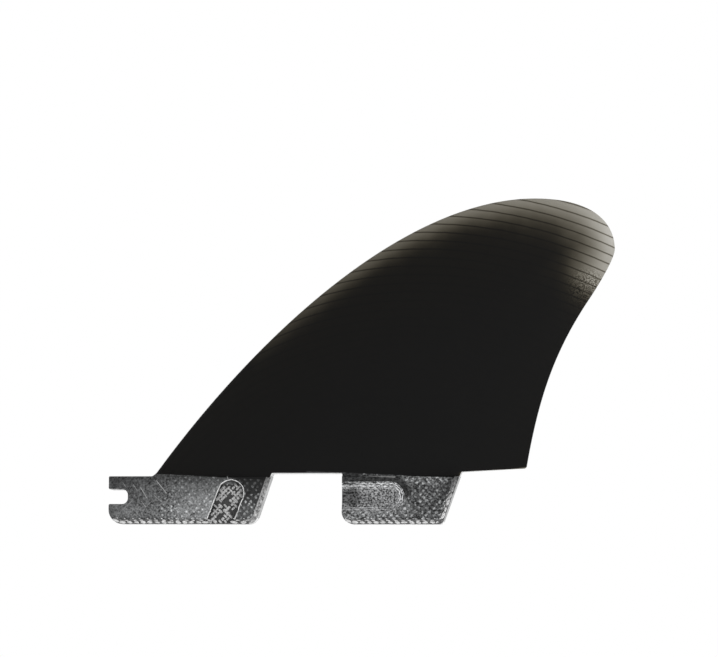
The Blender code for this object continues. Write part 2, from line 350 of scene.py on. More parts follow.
def mesh_of(shape: bmesh.types.BMesh, name: str) -> Mesh:
    """Makes a mesh of a shape.

    Args:
        shape: the shape, which is freed.
        name: the mesh's name.

    Returns:
        The mesh.
    """
    mesh = bpy.data.meshes.new(name)
    shape.to_mesh(mesh)
    shape.free()
    return mesh


def tool_inputs(sizes: object) -> dict[str, object]:
    """The fields of a set of sizes under a tool's input names, such as "Root Thickness"."""
    return {name.replace("_", " ").title(): value for name, value in vars(sizes).items()}


def plain_mesh(holder: Object, name: str) -> Mesh:
    """The mesh that an object shows with its modifiers.

    Args:
        holder: an object that is linked to the scene.
        name: the new mesh's name.

    Returns:
        A mesh of its own, with the object's place in it.
    """
    bpy.context.view_layer.update()
    evaluated = holder.evaluated_get(bpy.context.evaluated_depsgraph_get())
    mesh = bpy.data.meshes.new_from_object(evaluated)
    mesh.transform(holder.matrix_world)
    mesh.name = name
    return mesh


# Outlines


def turned(angle: float) -> Vector:
    """Unit vector in the side view, turned up from +X by this many radians."""
    return Vector((math.cos(angle), math.sin(angle)))


@dataclass(frozen=True)
class Corner:
    """One corner of a flat outline in the side view."""

    x: float
    z: float
    radius: float = 0.0


@dataclass(frozen=True)
class Outline:
    """A closed flat outline with rounded corners."""

    corners: tuple[Corner, ...]
    steps_per_turn: int = 72
    least_steps: int = 3

    def points(self) -> list[Vector]:
        """The outline as points in the side view.

        Returns:
            Points in order round it.
        """
        placed: list[Vector] = []
        for index, corner in enumerate(self.corners):
            before = self.corners[index - 1]
            after = self.corners[(index + 1) % len(self.corners)]
            placed += self.arc(before, corner, after)
        return placed

    def arc(self, before: Corner, corner: Corner, after: Corner) -> list[Vector]:
        """Points that round one corner.

        Args:
            before: the corner before it.
            corner: the corner itself.
            after: the corner after it.

        Returns:
            Points along its arc, or the corner where it is sharp.
        """
        tip = Vector((corner.x, corner.z))
        if corner.radius <= 0:
            return [tip]
        to_before = (Vector((before.x, before.z)) - tip).normalized()
        to_after = (Vector((after.x, after.z)) - tip).normalized()
        half_angle = to_before.angle(to_after) / 2
        setback = corner.radius / math.tan(half_angle)
        centre = tip + (to_before + to_after).normalized() * (corner.radius / math.sin(half_angle))
        start = tip + to_before * setback - centre
        end = tip + to_after * setback - centre
        turn = start.angle_signed(end)
        steps = max(self.least_steps, math.ceil(abs(turn) / (2 * HALF_TURN) * self.steps_per_turn))
        placed = []
        for step in range(steps + 1):
            angle = -turn * step / steps
            cosine, sine = math.cos(angle), math.sin(angle)
            placed.append(centre + Vector((
                start.x * cosine - start.y * sine,
                start.x * sine + start.y * cosine,
            )))
        return placed


def bow(start: Vector, start_pull: Vector, end: Vector, end_pull: Vector, steps: int) -> list[Vector]:
    """Points of a Bezier curve between two points, with a pull on each."""
    return interpolate_bezier(start, start + start_pull, end + end_pull, end, steps)


def lifted(points: Sequence[Vector], level: float = 0.0) -> list[Vector]:
    """Points of the side view as places in space, this far along Y."""
    return [Vector((point.x, level, point.y)) for point in points]


def thread_object(name: str, places: Sequence[Vector]) -> Object:
    """A polyline for a shape tool.

    Args:
        name: the object's name.
        places: its points in space.

    Returns:
        A curve object, linked to the scene.
    """
    curve = bpy.data.curves.new(name, "CURVE")
    curve.dimensions = "3D"
    spline = curve.splines.new("POLY")
    spline.points.add(len(places) - 1)
    for spot, place in zip(spline.points, places):
        spot.co = (*place, 1.0)
    return in_scene(name, curve)


def plate_object(name: str, points: Sequence[Vector], thickness: float, middle_y: float = 0.0) -> Object:
    """A flat plate cut to an outline.

    Args:
        name: the object's name.
        points: the outline.
        thickness: how thick it is along Y.
        middle_y: where the middle of its thickness lies.

    Returns:
        A mesh object, linked to the scene.
    """
    shape = bmesh.new()
    low = [shape.verts.new((place.x, middle_y - thickness / 2, place.y)) for place in points]
    high = [shape.verts.new((place.x, middle_y + thickness / 2, place.y)) for place in points]
    shape.faces.new(low)
    shape.faces.new(high[::-1])
    for index, vert in enumerate(low):
        after = (index + 1) % len(low)
        shape.faces.new((vert, high[index], high[after], low[after]))
    bmesh.ops.remove_doubles(shape, verts=shape.verts, dist=WELD)
    bmesh.ops.recalc_face_normals(shape, faces=shape.faces)
    return in_scene(name, mesh_of(shape, name))


def carve(target: Object, cutter: Object) -> None:
    """Adds an exact Boolean cut, whose faces keep the cutter's finish.

    Args:
        target: what is cut.
        cutter: the shape that is taken out of it.
    """
    modifier = target.modifiers.new(cutter.name, "BOOLEAN")
    modifier.operation = "DIFFERENCE"
    modifier.solver = "EXACT"
    modifier.material_mode = "TRANSFER"
    modifier.object = cutter


def settle(shaped: Object, helpers: Sequence[Object], smooth_below: float) -> Object:
    """Turns a worked shape into a plain object.

    Args:
        shaped: the shape with its modifiers.
        helpers: what worked on it, which is removed.
        smooth_below: the angle up to which neighbouring faces are shaded as one.

    Returns:
        A plain mesh object of the same name at the origin.
    """
    name = shaped.name
    mesh = plain_mesh(shaped, name)
    for helper in (shaped, *helpers):
        bpy.data.objects.remove(helper)
    return dressed_object(name, mesh, smooth_below)


def dressed_object(name: str, mesh: Mesh, smooth_below: float) -> Object:
    """A plain object of a mesh, smooth but for its edges.

    Args:
        name: the object's name.
        mesh: its mesh, which already has its materials.
        smooth_below: the angle up to which neighbouring faces are shaded as one.

    Returns:
        The object, linked to the scene.
    """
    mesh.shade_smooth()
    mesh.set_sharp_from_angle(angle=smooth_below)
    mesh.name = name
    return in_scene(name, mesh)


# Finishes


@dataclass(frozen=True)
class Surface:
    """Where a finish is read: the object's own coordinates in millimetres."""

    canvas: Canvas
    place: NodeSocket
    x: Signal
    y: Signal
    z: Signal

    @classmethod
    def of(cls, canvas: Canvas) -> "Surface":
        """Reads the object's coordinates.

        Args:
            canvas: the material's tree.

        Returns:
            The surface's coordinates in millimetres.
        """
        coordinates = canvas.node("ShaderNodeTexCoord").outputs["Object"]
        place = canvas.node(
            "ShaderNodeVectorMath", {"operation": "SCALE"}, {0: coordinates, "Scale": 1 / MM}
        ).outputs[0]
        x, y, z = canvas.split(place)
        return cls(canvas, place, x, y, z)

    def reach(self, x: float, z: float) -> Signal:
        """Distance in the side view from one point, in millimetres."""
        across, up = self.x - x, self.z - z
        return (across * across + up * up).root()

    def stretched(self, x: float, y: float, z: float) -> NodeSocket:
        """The coordinates with each axis multiplied by a number."""
        return self.canvas.join(self.x * x, self.y * y, self.z * z)

    def noted(self, name: str) -> Signal:
        """A number that the blade's loft has noted on its points."""
        return self.canvas.signal(self.canvas.node("ShaderNodeAttribute", {"attribute_name": name}), "Fac")


@dataclass(frozen=True)
class Fade:
    """A smooth change along one measure, from 0 at one value to its gain at the other."""

    none: float
    full: float
    gain: float = 1.0

    def of(self, value: Signal) -> Signal:
        """How much of it there is at this value."""
        return value.rise(self.none, self.full) * self.gain


@dataclass(frozen=True)
class Blots:
    """Soft noise with blots of one size (millimetres) and finer layers over them."""

    size: float
    detail: float = 2.0
    roughness: float = 0.5
    gain: float = 1.0
    stretch: Triple | None = None

    def of(self, surface: Surface) -> Signal:
        """The noise at each place, around 0 and by half the gain to either side."""
        place = surface.stretched(*self.stretch) if self.stretch else surface.place
        return (surface.canvas.noise(place, self.size, self.detail, self.roughness) - 0.5) * self.gain


@dataclass(frozen=True)
class Sheen:
    """How a bare face takes the light: its gloss and its fine relief."""

    roughness: float
    relief: float
    relief_depth: float
    specular: float = 0.3

    def dress(self, canvas: Canvas, shader: Node, height: Signal) -> None:
        """Sets them on a shader.

        Args:
            canvas: the material's tree.
            shader: its Principled shader.
            height: the relief at each place.
        """
        shader.inputs["Roughness"].default_value = self.roughness
        shader.inputs["Specular IOR Level"].default_value = self.specular
        bump = canvas.node(
            "ShaderNodeBump",
            inputs={"Strength": self.relief, "Distance": self.relief_depth, "Height": height},
        )
        canvas.feed(shader.inputs["Normal"], bump.outputs[0])


def start_material(name: str) -> tuple[Material, Canvas, Node]:
    """An empty material.

    Args:
        name: its name.

    Returns:
        The material, its canvas and its Principled shader.
    """
    material = bpy.data.materials.new(name)
    material.use_nodes = True
    canvas = Canvas(material.node_tree)
    return material, canvas, material.node_tree.nodes["Principled BSDF"]


@dataclass(frozen=True)
class PaintLine:
    """The wavering lower edge of the black, where the cutter bared the tabs (millimetres)."""

    front_x: float = -46.0
    front_z: float = -0.25
    front_slope: float = -0.062
    rear_x: float = 29.5
    rear_z: float = -0.7
    rear_slope: float = -0.048
    wobble: Blots = Blots(1.6, 3.0, gain=0.5, stretch=(1.0, 0.3, 0.3))
    softness: float = 0.12

    def black(self, surface: Surface) -> Signal:
        """How black the laminate is at each height.

        Args:
            surface: where it is read.

        Returns:
            1 above the line and 0 under it.
        """
        front = (surface.x - self.front_x) * self.front_slope + self.front_z
        rear = (surface.x - self.rear_x) * self.rear_slope + self.rear_z
        line = front + (rear - front) * surface.x.above(0.0)
        above = surface.z - line + self.wobble.of(surface)
        return above.rise(-self.softness, self.softness)


@dataclass(frozen=True)
class TipGlow:
    """Painted light that comes through the laminate at the tip and along the upper edge (millimetres).

    It fades with the distance from the tip, and with the depth behind the nearest edge of the blade.
    """

    x: float = 98.5
    z: float = 77.0
    strip_glow: float = 0.28
    strip_reach: float = 125.0
    tip_glow: float = 0.225
    tip_reach: float = 11.3
    rear_side: Fade = Fade(0.5, 0.8)
    rear_reach: float = 18.9
    rear_power: float = 11.0
    rear_depth: float = 7.7
    thin_depth: float = 2.3
    tip_depth: float = 5.4
    depth_reach: float = 38.0
    fall_power: float = 1.6
    blots: Blots = Blots(9.0, gain=0.5)
    haze: float = 0.0080
    haze_reach: float = 90.0
    haze_depth: float = 18.0
    haze_loss: Fade = Fade(12.0, 30.0, 0.8)

    def level(self, surface: Surface) -> Signal:
        """How much light comes through.

        Args:
            surface: where it is read.

        Returns:
            A linear brightness.
        """
        depth = surface.noted("edge_depth") / MM
        rear_side = self.rear_side.of(surface.noted("chord_share"))
        away = surface.reach(self.x, self.z)
        strip = (1 - away / self.strip_reach).at_least(0.0) * self.strip_glow
        tip = (away / self.tip_reach).decay() * self.tip_glow
        rear_fade = 1 / (1 + (away / self.rear_reach) ** self.rear_power)
        brightness = (strip + tip) * (1 - rear_side * (1 - rear_fade))
        front_depth = (away / self.depth_reach).decay() * self.tip_depth + self.thin_depth
        reach = front_depth + (self.rear_depth - front_depth) * rear_side
        fall = (depth * (1 + self.blots.of(surface)) / reach) ** self.fall_power
        haze = (away / self.haze_reach + depth / self.haze_depth).decay() * self.haze
        haze = haze * (1 - rear_side * self.haze_loss.of(away))
        return fall.decay() * brightness + haze


@dataclass(frozen=True)
class DarkArcs:
    """Thin dark arcs, evenly spaced round one far point, that cross the blade (millimetres)."""

    x: float = 34.4
    z: float = -68.8
    pitch: float = 2.80
    width: float = 0.20
    edge: Fade = Fade(1.7, 0.4, 0.72)
    wobble: Blots = Blots(5.0, gain=0.35)

    def mark(self, surface: Surface) -> Signal:
        """How much of the glow they take.

        Args:
            surface: where it is read.

        Returns:
            The share that an arc takes, and 0 between.
        """
        turns = (surface.reach(self.x, self.z) + self.wobble.of(surface)) / self.pitch
        off = abs(turns.fraction() - 0.5) * self.pitch
        return self.edge.of(off / self.width)


@dataclass(frozen=True)
class EdgeCloth:
    """Speckled cloth that shows through near the rear edge (millimetres)."""

    x: float = 89.5
    z: float = 58.8
    reach: Fade = Fade(9.0, 3.0, 1.25)
    speckle: Blots = Blots(0.36, 1.0)
    speckle_edge: Fade = Fade(-0.14, 0.14)
    speckle_mean: float = 0.62
    darkest: float = 0.2

    def factor(self, surface: Surface) -> Signal:
        """What it makes of the glow, as a factor around 1."""
        speckle = self.speckle_edge.of(self.speckle.of(surface)) - self.speckle_mean
        return (1 + speckle * self.reach.of(surface.reach(self.x, self.z))).at_least(self.darkest)


@dataclass(frozen=True)
class Dust:
    """A few pale specks, at most one in each cell."""

    cells_per_mm: float = 0.11
    speck: Fade = Fade(0.014, 0.006, 0.4)
    empty_share: float = 0.5
    tone: float = 0.09

    def mark(self, surface: Surface) -> Signal:
        """Where they lie.

        Args:
            surface: where it is read.

        Returns:
            How much of a speck shows.
        """
        canvas = surface.canvas
        cells = canvas.node(
            "ShaderNodeTexVoronoi", inputs={"Vector": surface.place, "Scale": self.cells_per_mm}
        )
        kept = canvas.signal(cells, "Color").above(self.empty_share)
        return self.speck.of(canvas.signal(cells, "Distance")) * kept


@dataclass(frozen=True)
class SmokedLaminate:
    """Black blade laminate that clears at the tip and upper edge, where it shows smoky grey painted light.
    """

    glow: TipGlow = TipGlow()
    arcs: DarkArcs = DarkArcs()
    cloth: EdgeCloth = EdgeCloth()
    dust: Dust = Dust()
    black: float = 0.0030
    green_power: float = 1.042
    blue_power: float = 1.152
    sanding: Blots = Blots(0.5, gain=0.06, stretch=(0.15, 1.0, 1.6))
    clouds: Blots = Blots(14.0, gain=0.08)
    roughness: float = 0.36
    specular: float = 0.22

    def make(self) -> Material:
        """Builds the material.

        Returns:
            The blade's material.
        """
        material, canvas, shader = start_material("smoked_laminate")
        surface = Surface.of(canvas)
        # Painted light through the clearer laminate, less the dark arcs, times the cloth's speckle.
        lit = self.glow.level(surface) * (1 - self.arcs.mark(surface)) * self.cloth.factor(surface)
        red = lit + self.black
        green = lit ** self.green_power + self.black
        blue = lit ** self.blue_power + self.black
        tinted = canvas.node("ShaderNodeCombineColor", inputs={0: red, 1: green, 2: blue}).outputs[0]
        dusted = canvas.mix(self.dust.mark(surface), tinted, grey(self.dust.tone))
        bare = BareGlass().colour(surface)
        colour = canvas.mix(PaintLine().black(surface), bare, dusted)
        canvas.feed(shader.inputs["Base Color"], colour)
        canvas.feed(shader.inputs["Roughness"], self.satin(surface))
        shader.inputs["Specular IOR Level"].default_value = self.specular
        return material

    def satin(self, surface: Surface) -> Signal:
        """Roughness, with faint sanding marks."""
        return self.sanding.of(surface) + self.clouds.of(surface) + self.roughness


@dataclass(frozen=True)
class Scratch:
    """One straight scratch in the side view (millimetres)."""

    start: Point
    end: Point
    strength: float = 1.0
    width: float = 0.10
    core: float = 0.3

    def mark(self, surface: Surface) -> Signal:
        """Where it shows.

        Args:
            surface: where it is read.

        Returns:
            A number from 0 to 1.
        """
        run = (self.end[0] - self.start[0], self.end[1] - self.start[1])
        length = run[0] ** 2 + run[1] ** 2
        across = surface.x - self.start[0]
        up = surface.z - self.start[1]
        along = ((across * run[0] + up * run[1]) / length).at_least(0.0).at_most(1.0)
        off_x = across - along * run[0]
        off_z = up - along * run[1]
        off = (off_x * off_x + off_z * off_z).root()
        return off.rise(self.width, self.width * self.core) * self.strength


@dataclass(frozen=True)
class Cloth:
    """Glass cloth in clear resin, woven at 45 degrees to the base line (millimetres)."""

    pitch: float = 1.6
    looseness: float = 0.38
    wander: Blots = Blots(4.0, 1.0, gain=0.3, stretch=(1.0, 0.3, 1.0))
    other_side: float = 5.4
    dot_fray: Blots = Blots(0.6, 1.0, gain=0.5)
    dot_edge: Fade = Fade(-0.10, 0.10)
    dot_chance: Fade = Fade(-0.25, 0.65)
    thread_length: float = 0.8
    thread_fineness: float = 2.9
    thread_depth: float = 0.3
    thread_mean: float = 0.57

    def place(self, surface: Surface) -> tuple[Signal, Signal]:
        """Coordinates along the two rovings, one unit to a roving.

        Args:
            surface: where they are read.

        Returns:
            The place across the warp and across the weft.
        """
        drift = self.wander.of(surface)
        step = 1 / (math.sqrt(2) * self.pitch)
        warp = (surface.x + surface.z) * step + drift + surface.y.above(0.0) * self.other_side
        weft = (surface.x - surface.z) * step + drift
        return warp, weft

    def dots(self, surface: Surface, radius: Signal | float) -> Signal:
        """Pale dots where the rovings come up to the face.

        Args:
            surface: where they are read.
            radius: how far they reach, as a share of the roving's pitch.

        Returns:
            A number from 0 to 1.
        """
        canvas = surface.canvas
        warp, weft = self.place(surface)
        cells = canvas.node(
            "ShaderNodeTexVoronoi",
            {"voronoi_dimensions": "2D"},
            {"Vector": canvas.join(warp, weft, 0.0), "Scale": 1.0, "Randomness": self.looseness},
        )
        inside = radius - canvas.signal(cells, "Distance") + self.dot_fray.of(surface)
        return self.dot_edge.of(inside) * self.dot_chance.of(canvas.signal(cells, "Color"))

    def fibres(self, surface: Surface) -> Signal:
        """Threads along both rovings.

        Args:
            surface: where they are read.

        Returns:
            A number around 0.
        """
        canvas = surface.canvas
        warp, weft = self.place(surface)
        depth = surface.y * self.thread_depth
        slow, fine = self.thread_length, self.thread_fineness
        along = canvas.noise(canvas.join(warp * slow, weft * fine, depth), 1.0)
        across = canvas.noise(canvas.join(warp * fine, weft * slow, depth), 1.0)
        return along.at_least(across) - self.thread_mean


@dataclass(frozen=True)
class ScoopAxis:
    """The middle line of the scoops, up to the centre of their round end (millimetres)."""

    x: float = 27.0
    z: float = -7.6

    def off(self, surface: Surface) -> Signal:
        """Distance from the line in the side view."""
        ahead, up = (surface.x - self.x).at_least(0.0), surface.z - self.z
        return (ahead * ahead + up * up).root()


@dataclass(frozen=True)
class GlassLook:
    """What the bare glass shows at each place."""

    tone: Signal
    dots: Signal
    dot_radius: Signal | float
    crackle: Signal | float


@dataclass(frozen=True)
class FrontAreas:
    """Broad light and dark areas of the front tab's faces (millimetres), with painted sheen and shade."""

    horn_tone: float = 0.070
    foot_tone: float = 0.125
    middle_tone: float = 0.092
    # The tone that the painted sheen before the groove reaches.
    sheen_tone: float = 0.215
    dark_tone: float = 0.019
    low_part: Fade = Fade(-5.0, -9.5)
    foot_part: Fade = Fade(-9.0, -12.0)
    # Painted shade under the blade, over the top of the faces.
    top_part: Fade = Fade(-5.1, -1.8)
    # Painted shade at the nose: darker towards the front edge in the lower part.
    nose_shade: Fade = Fade(-61.5, -64.0, 0.3)
    middle: Fade = Fade(-61.0, -52.0)
    # Painted sheen: the faces before the groove are lighter, fully in the lower part and partly above.
    near_groove: Fade = Fade(-50.0, -32.0)
    sheen_upper: float = 0.38
    foot_start: Fade = Fade(-60.0, -57.0)
    foot_end: Fade = Fade(-34.0, -39.0, 0.34)
    past_groove: Fade = Fade(-25.0, -22.0)
    past_groove_foot: float = 0.05
    # Painted shade under the blade, growing towards the groove.
    top_shade: float = 0.42
    top_shade_growth: Fade = Fade(-44.0, -34.0, 0.14)
    dots_start: Fade = Fade(-52.0, -42.0, 0.22)
    dots_upper: float = 0.30
    dots_least: float = 0.02
    dots_past_groove: float = 0.06
    dots_past_groove_loss: Fade = Fade(-8.0, -3.0, 0.09)
    dot_radius: float = 0.20
    dot_radius_gain: float = 0.03
    groove_x: float = -24.0
    crackle: float = 2.2
    crackle_rise: Fade = Fade(-60.0, -52.0, 1.2)
    crackle_fall: Fade = Fade(-46.0, -38.0, 1.4)

    def look(self, surface: Surface) -> GlassLook:
        """What the front tab shows.

        Args:
            surface: where it is read.

        Returns:
            Its look at each place.
        """
        x, z = surface.x, surface.z
        low = self.low_part.of(z)
        dots = self.dots_start.of(x) * (low * (1 - self.dots_upper) + self.dots_upper) + self.dots_least
        more = self.dots_past_groove - self.dots_past_groove_loss.of(z)
        dots = dots + self.past_groove.of(x) * more
        radius = self.dot_radius + x.above(self.groove_x) * self.dot_radius_gain
        crackle = self.crackle_rise.of(x) + self.crackle - self.crackle_fall.of(x)
        return GlassLook(self.tone(surface), dots, radius, crackle)

    def tone(self, surface: Surface) -> Signal:
        """The ground's brightness.

        Args:
            surface: where it is read.

        Returns:
            A linear brightness.
        """
        x, z = surface.x, surface.z
        low, foot = self.low_part.of(z), self.foot_part.of(z)
        nose = low * (self.foot_tone - self.horn_tone) + self.horn_tone
        nose = nose * (1 - self.nose_shade.of(x) * low)
        tone = nose + self.middle.of(x) * (self.middle_tone - nose)
        # Painted sheen before the groove.
        near_groove = self.near_groove.of(x) * (low * (1 - self.sheen_upper) + self.sheen_upper)
        tone = tone + near_groove * (self.sheen_tone - self.middle_tone)
        tone = tone * (1 + foot * self.foot_start.of(x) * self.foot_end.of(x))
        dark = self.dark_tone * (low + 1) + foot * self.past_groove_foot
        tone = tone + self.past_groove.of(x) * (dark - tone)
        # Painted shade under the blade.
        return tone * (1 - self.top_part.of(z) * (self.top_shade_growth.of(x) + self.top_shade))


@dataclass(frozen=True)
class RearAreas:
    """Broad light and dark areas of the rear tab's faces (millimetres), with painted shade."""

    scoop: ScoopAxis = ScoopAxis()
    left_tone: float = 0.13
    right_tone: float = 0.062
    right_half: Fade = Fade(30.0, 36.0)
    top_part: Fade = Fade(-4.2, -2.8, 0.7)
    rear_x: float = 49.8
    rear_slant: float = 0.356
    # Painted shade at the heel of the raked rear edge, in its upper part.
    heel_width: Fade = Fade(5.0, 2.5)
    heel_height: Fade = Fade(-10.0, -6.0)
    heel_shade: float = 0.6
    # Painted shade in a collar round the upper part of the scoop.
    collar_width: Fade = Fade(8.6, 6.0)
    collar_front: Fade = Fade(20.0, 17.0)
    collar_height: Fade = Fade(-9.6, -5.8)
    collar_shade: float = 0.80
    dots: float = 0.20
    dots_right_loss: float = 0.03
    dots_heel_loss: float = 0.7
    dot_radius: float = 0.28
    crackle: float = 5.2

    def look(self, surface: Surface) -> GlassLook:
        """What the rear tab shows: painted shade in a collar round the scoop and at the rear edge's heel.

        Args:
            surface: where it is read.

        Returns:
            Its look at each place.
        """
        x, z = surface.x, surface.z
        right_half = self.right_half.of(x)
        heel = self.heel_width.of(z * self.rear_slant + self.rear_x - x) * self.heel_height.of(z)
        round_scoop = self.collar_width.of(self.scoop.off(surface)).at_least(self.collar_front.of(x))
        collar = round_scoop * self.collar_height.of(z)
        tone = right_half * (self.right_tone - self.left_tone) + self.left_tone
        tone = tone * (1 + self.top_part.of(z) * right_half)
        # Painted shade at the heel and in the collar round the scoop.
        tone = tone * (1 - heel * self.heel_shade) * (1 - collar * self.collar_shade)
        dots = self.dots - right_half * self.dots_right_loss
        dots = (1 - collar) * (1 - heel * self.dots_heel_loss) * dots
        return GlassLook(tone, dots, self.dot_radius, self.crackle)


@dataclass(frozen=True)
class BareGlass:
    """Flat sanded laminate: dark resin with pale dots and fine threads, by area (millimetres)."""

    cloth: Cloth = Cloth()
    front: FrontAreas = FrontAreas()
    rear: RearAreas = RearAreas()
    # Painted shade low on the faces, darker towards the bottom edge by the rovings.
    rope_shade: Fade = Fade(-13.9, -14.9, 0.5)
    clouds: Blots = Blots(3.2, stretch=(1.0, 0.2, 1.0))
    cloud_gain: float = 0.8
    grit: Blots = Blots(0.56, 1.0, 0.6)
    dot_grit: float = 4.0
    thread_gain: float = 2.2
    darkest: float = 0.12
    tint: Triple = (0.985, 1.005, 1.015)

    def level(self, surface: Surface) -> Signal:
        """Brightness of the bare laminate.

        Args:
            surface: where it is read.

        Returns:
            A linear brightness.
        """
        front, rear = self.front.look(surface), self.rear.look(surface)
        behind = surface.x.above(0.0)
        tone = front.tone + behind * (rear.tone - front.tone)
        # Painted shade towards the bottom edge.
        tone = tone * (1 - self.rope_shade.of(surface.z))
        strength = front.dots + behind * (rear.dots - front.dots)
        radius = front.dot_radius + behind * (rear.dot_radius - front.dot_radius)
        crackle = front.crackle + behind * (rear.crackle - front.crackle)
        clouds, grit = self.clouds.of(surface), self.grit.of(surface)
        rough = clouds * self.cloud_gain + self.cloth.fibres(surface) * self.thread_gain + grit * crackle
        dots = self.cloth.dots(surface, radius) * strength
        dots = dots * (1 + clouds + grit * self.dot_grit).at_least(0.0)
        return tone * (1 + rough).at_least(self.darkest) + dots

    def colour(self, surface: Surface) -> NodeSocket:
        """The bare laminate's colour, a cool grey."""
        level = self.level(surface)
        return surface.canvas.join(*(level * share for share in self.tint))


@dataclass(frozen=True)
class TabFace:
    """The sanded side faces of the tabs, with scratches on the outer one."""

    glass: BareGlass = BareGlass()
    sheen: Sheen = Sheen(0.5, 0.2, 0.04 * MM)
    outer_face: Fade = Fade(0.0, -1.0, 0.7)
    black: float = 0.003
    scratch_tone: float = 0.62
    scratches: tuple[Scratch, ...] = (
        Scratch((-48.8, -2.5), (-45.4, -6.6), 1.0),
        Scratch((-54.0, -4.7), (-51.9, -8.0), 0.9),
        Scratch((-56.5, -3.6), (-55.0, -5.8), 0.6),
        Scratch((-53.7, -9.1), (-52.2, -11.0), 0.6),
        Scratch((-49.3, -7.4), (-47.0, -9.3), 0.5),
        Scratch((-61.1, -13.1), (-56.2, -8.5), 0.3),
        Scratch((-44.6, -8.2), (-41.4, -10.6), 0.35),
        Scratch((-25.8, -0.9), (-25.4, -2.0), 0.9),
        Scratch((18.6, -0.75), (22.8, -0.98), 0.7, 0.40),
        Scratch((23.4, -1.0), (25.3, -1.1), 0.65, 0.42),
        Scratch((25.8, -1.1), (28.6, -1.25), 0.5, 0.42),
        Scratch((-59.9, -3.0), (-58.9, -4.4), 0.5),
        Scratch((-47.6, -10.4), (-45.4, -12.6), 0.45),
        Scratch((-53.4, -12.2), (-50.2, -9.0), 0.3),
    )

    def make(self) -> Material:
        """Builds the material.

        Returns:
            The material of the tabs' faces.
        """
        material, canvas, shader = start_material("bare_glass")
        surface = Surface.of(canvas)
        marks = self.scratches[0].mark(surface)
        for scratch in self.scratches[1:]:
            marks = marks.at_least(scratch.mark(surface))
        marks = marks * self.outer_face.of(surface.y)
        ground = canvas.mix(PaintLine().black(surface), self.glass.colour(surface), grey(self.black))
        canvas.feed(shader.inputs["Base Color"], canvas.mix(marks, ground, grey(self.scratch_tone)))
        self.sheen.dress(canvas, shader, self.glass.cloth.fibres(surface))
        return material


@dataclass(frozen=True)
class ScoopCut:
    """A scoop's face, its plies open as nested wavy rings, with painted shadow and shade (millimetres)."""

    cloth: Cloth = Cloth()
    axis: ScoopAxis = ScoopAxis()
    sheen: Sheen = Sheen(0.65, 0.35, 0.08 * MM)
    tone: float = 0.187
    grit: Blots = Blots(0.6, 2.0, 0.7)
    grit_edge: Fade = Fade(-0.14, 0.14, 2.0)
    darkest: float = 0.03
    blots: Blots = Blots(2.6, 1.0, gain=1.5, stretch=(1.0, 0.2, 1.0))
    # Painted shadow round this point, near the scoop's front end.
    shadow_x: float = 14.6
    shadow_z: float = -7.5
    shadow: Fade = Fade(4.8, 1.5, 0.70)
    # Painted shade towards the scoop's bottom.
    lower_shade: Fade = Fade(-8.5, -12.0, 0.30)
    tint: Triple = (0.99, 1.0, 1.015)
    ring_pitch: float = 0.76
    ring_gain: float = 0.64
    ring_relief: float = 0.5
    ring_edge: Fade = Fade(0.36, 0.08)
    ring_start: Fade = Fade(2.0, 3.8)
    ring_wave: float = 0.08
    ring_fray: Blots = Blots(1.1, gain=0.48, stretch=(0.6, 1.0, 1.0))
    ring_breaks: Blots = Blots(0.8, 1.0)
    ring_break_edge: Fade = Fade(-0.20, 0.06)
    ring_upper: Fade = Fade(-11.0, -8.0, 0.5)
    ring_lower: float = 0.5

    def make(self) -> Material:
        """Builds the material.

        Returns:
            The scoops' material.
        """
        material, canvas, shader = start_material("scooped_plies")
        surface = Surface.of(canvas)
        rings = self.rings(surface)
        grit = self.grit.of(surface)
        # Painted shadow near the scoop's front end.
        shadow = self.shadow.of(surface.reach(self.shadow_x, self.shadow_z))
        ground = (self.grit_edge.of(grit) + self.darkest) * self.tone * (1 + self.blots.of(surface))
        level = (ground + rings * self.ring_gain) * (1 - shadow) * (1 - self.lower_shade.of(surface.z))
        canvas.feed(shader.inputs["Base Color"], canvas.join(*(level * share for share in self.tint)))
        self.sheen.dress(canvas, shader, grit + rings * self.ring_relief)
        return material

    def rings(self, surface: Surface) -> Signal:
        """Wavy lines that follow the scoop's rim.

        Args:
            surface: where they are read.

        Returns:
            1 on a line.
        """
        off = self.axis.off(surface)
        warp, weft = self.cloth.place(surface)
        wave = (warp * 2 * HALF_TURN).sine() + (weft * 2 * HALF_TURN).sine()
        turns = (off + wave * self.ring_wave + self.ring_fray.of(surface)) / self.ring_pitch
        lines = self.ring_edge.of(abs(turns.fraction() - 0.5))
        broken = self.ring_break_edge.of(self.ring_breaks.of(surface))
        strength = self.ring_upper.of(surface.z) + self.ring_lower
        return lines * broken * strength * self.ring_start.of(off)


@dataclass(frozen=True)
class GlassCut:
    """A face that a cutter left in the laminate: its tone, its grit and its ply lines (millimetres).

    It is darkened by a painted shade towards the root: the shade's share, from the shade's lower end up.
    """

    name: str
    tone: float
    grit: float
    grit_size: float = 0.42
    grit_roughness: float = 0.65
    ply_lines: float = 0.0
    shade: float = 0.0
    shade_low: float = -6.5
    shade_high: float = -0.5
    ply: float = 0.27
    ply_wander: float = 0.12
    ply_wander_size: float = 1.6
    clouds: Blots = Blots(2.5, 1.0, gain=0.5)
    darkest: float = 0.15
    sheen: Sheen = Sheen(0.7, 0.35, 0.06 * MM)

    def make(self) -> Material:
        """Builds the material.

        Returns:
            The material of this kind of cut.
        """
        material, canvas, shader = start_material(self.name)
        surface = Surface.of(canvas)
        grit = Blots(self.grit_size, roughness=self.grit_roughness).of(surface)
        wander = canvas.noise(surface.place, self.ply_wander_size, detail=1.0) * self.ply_wander
        plies = ((surface.y + wander) * (2 * HALF_TURN / self.ply)).sine()
        rough = grit * self.grit + self.clouds.of(surface) + plies * self.ply_lines
        # Painted shade towards the root.
        shade = surface.z.rise(self.shade_low, self.shade_high) * self.shade
        level = (1 + rough).at_least(self.darkest) * self.tone * (1 - shade)
        canvas.feed(shader.inputs["Base Color"], canvas.join(level, level, level))
        self.sheen.dress(canvas, shader, grit)
        return material


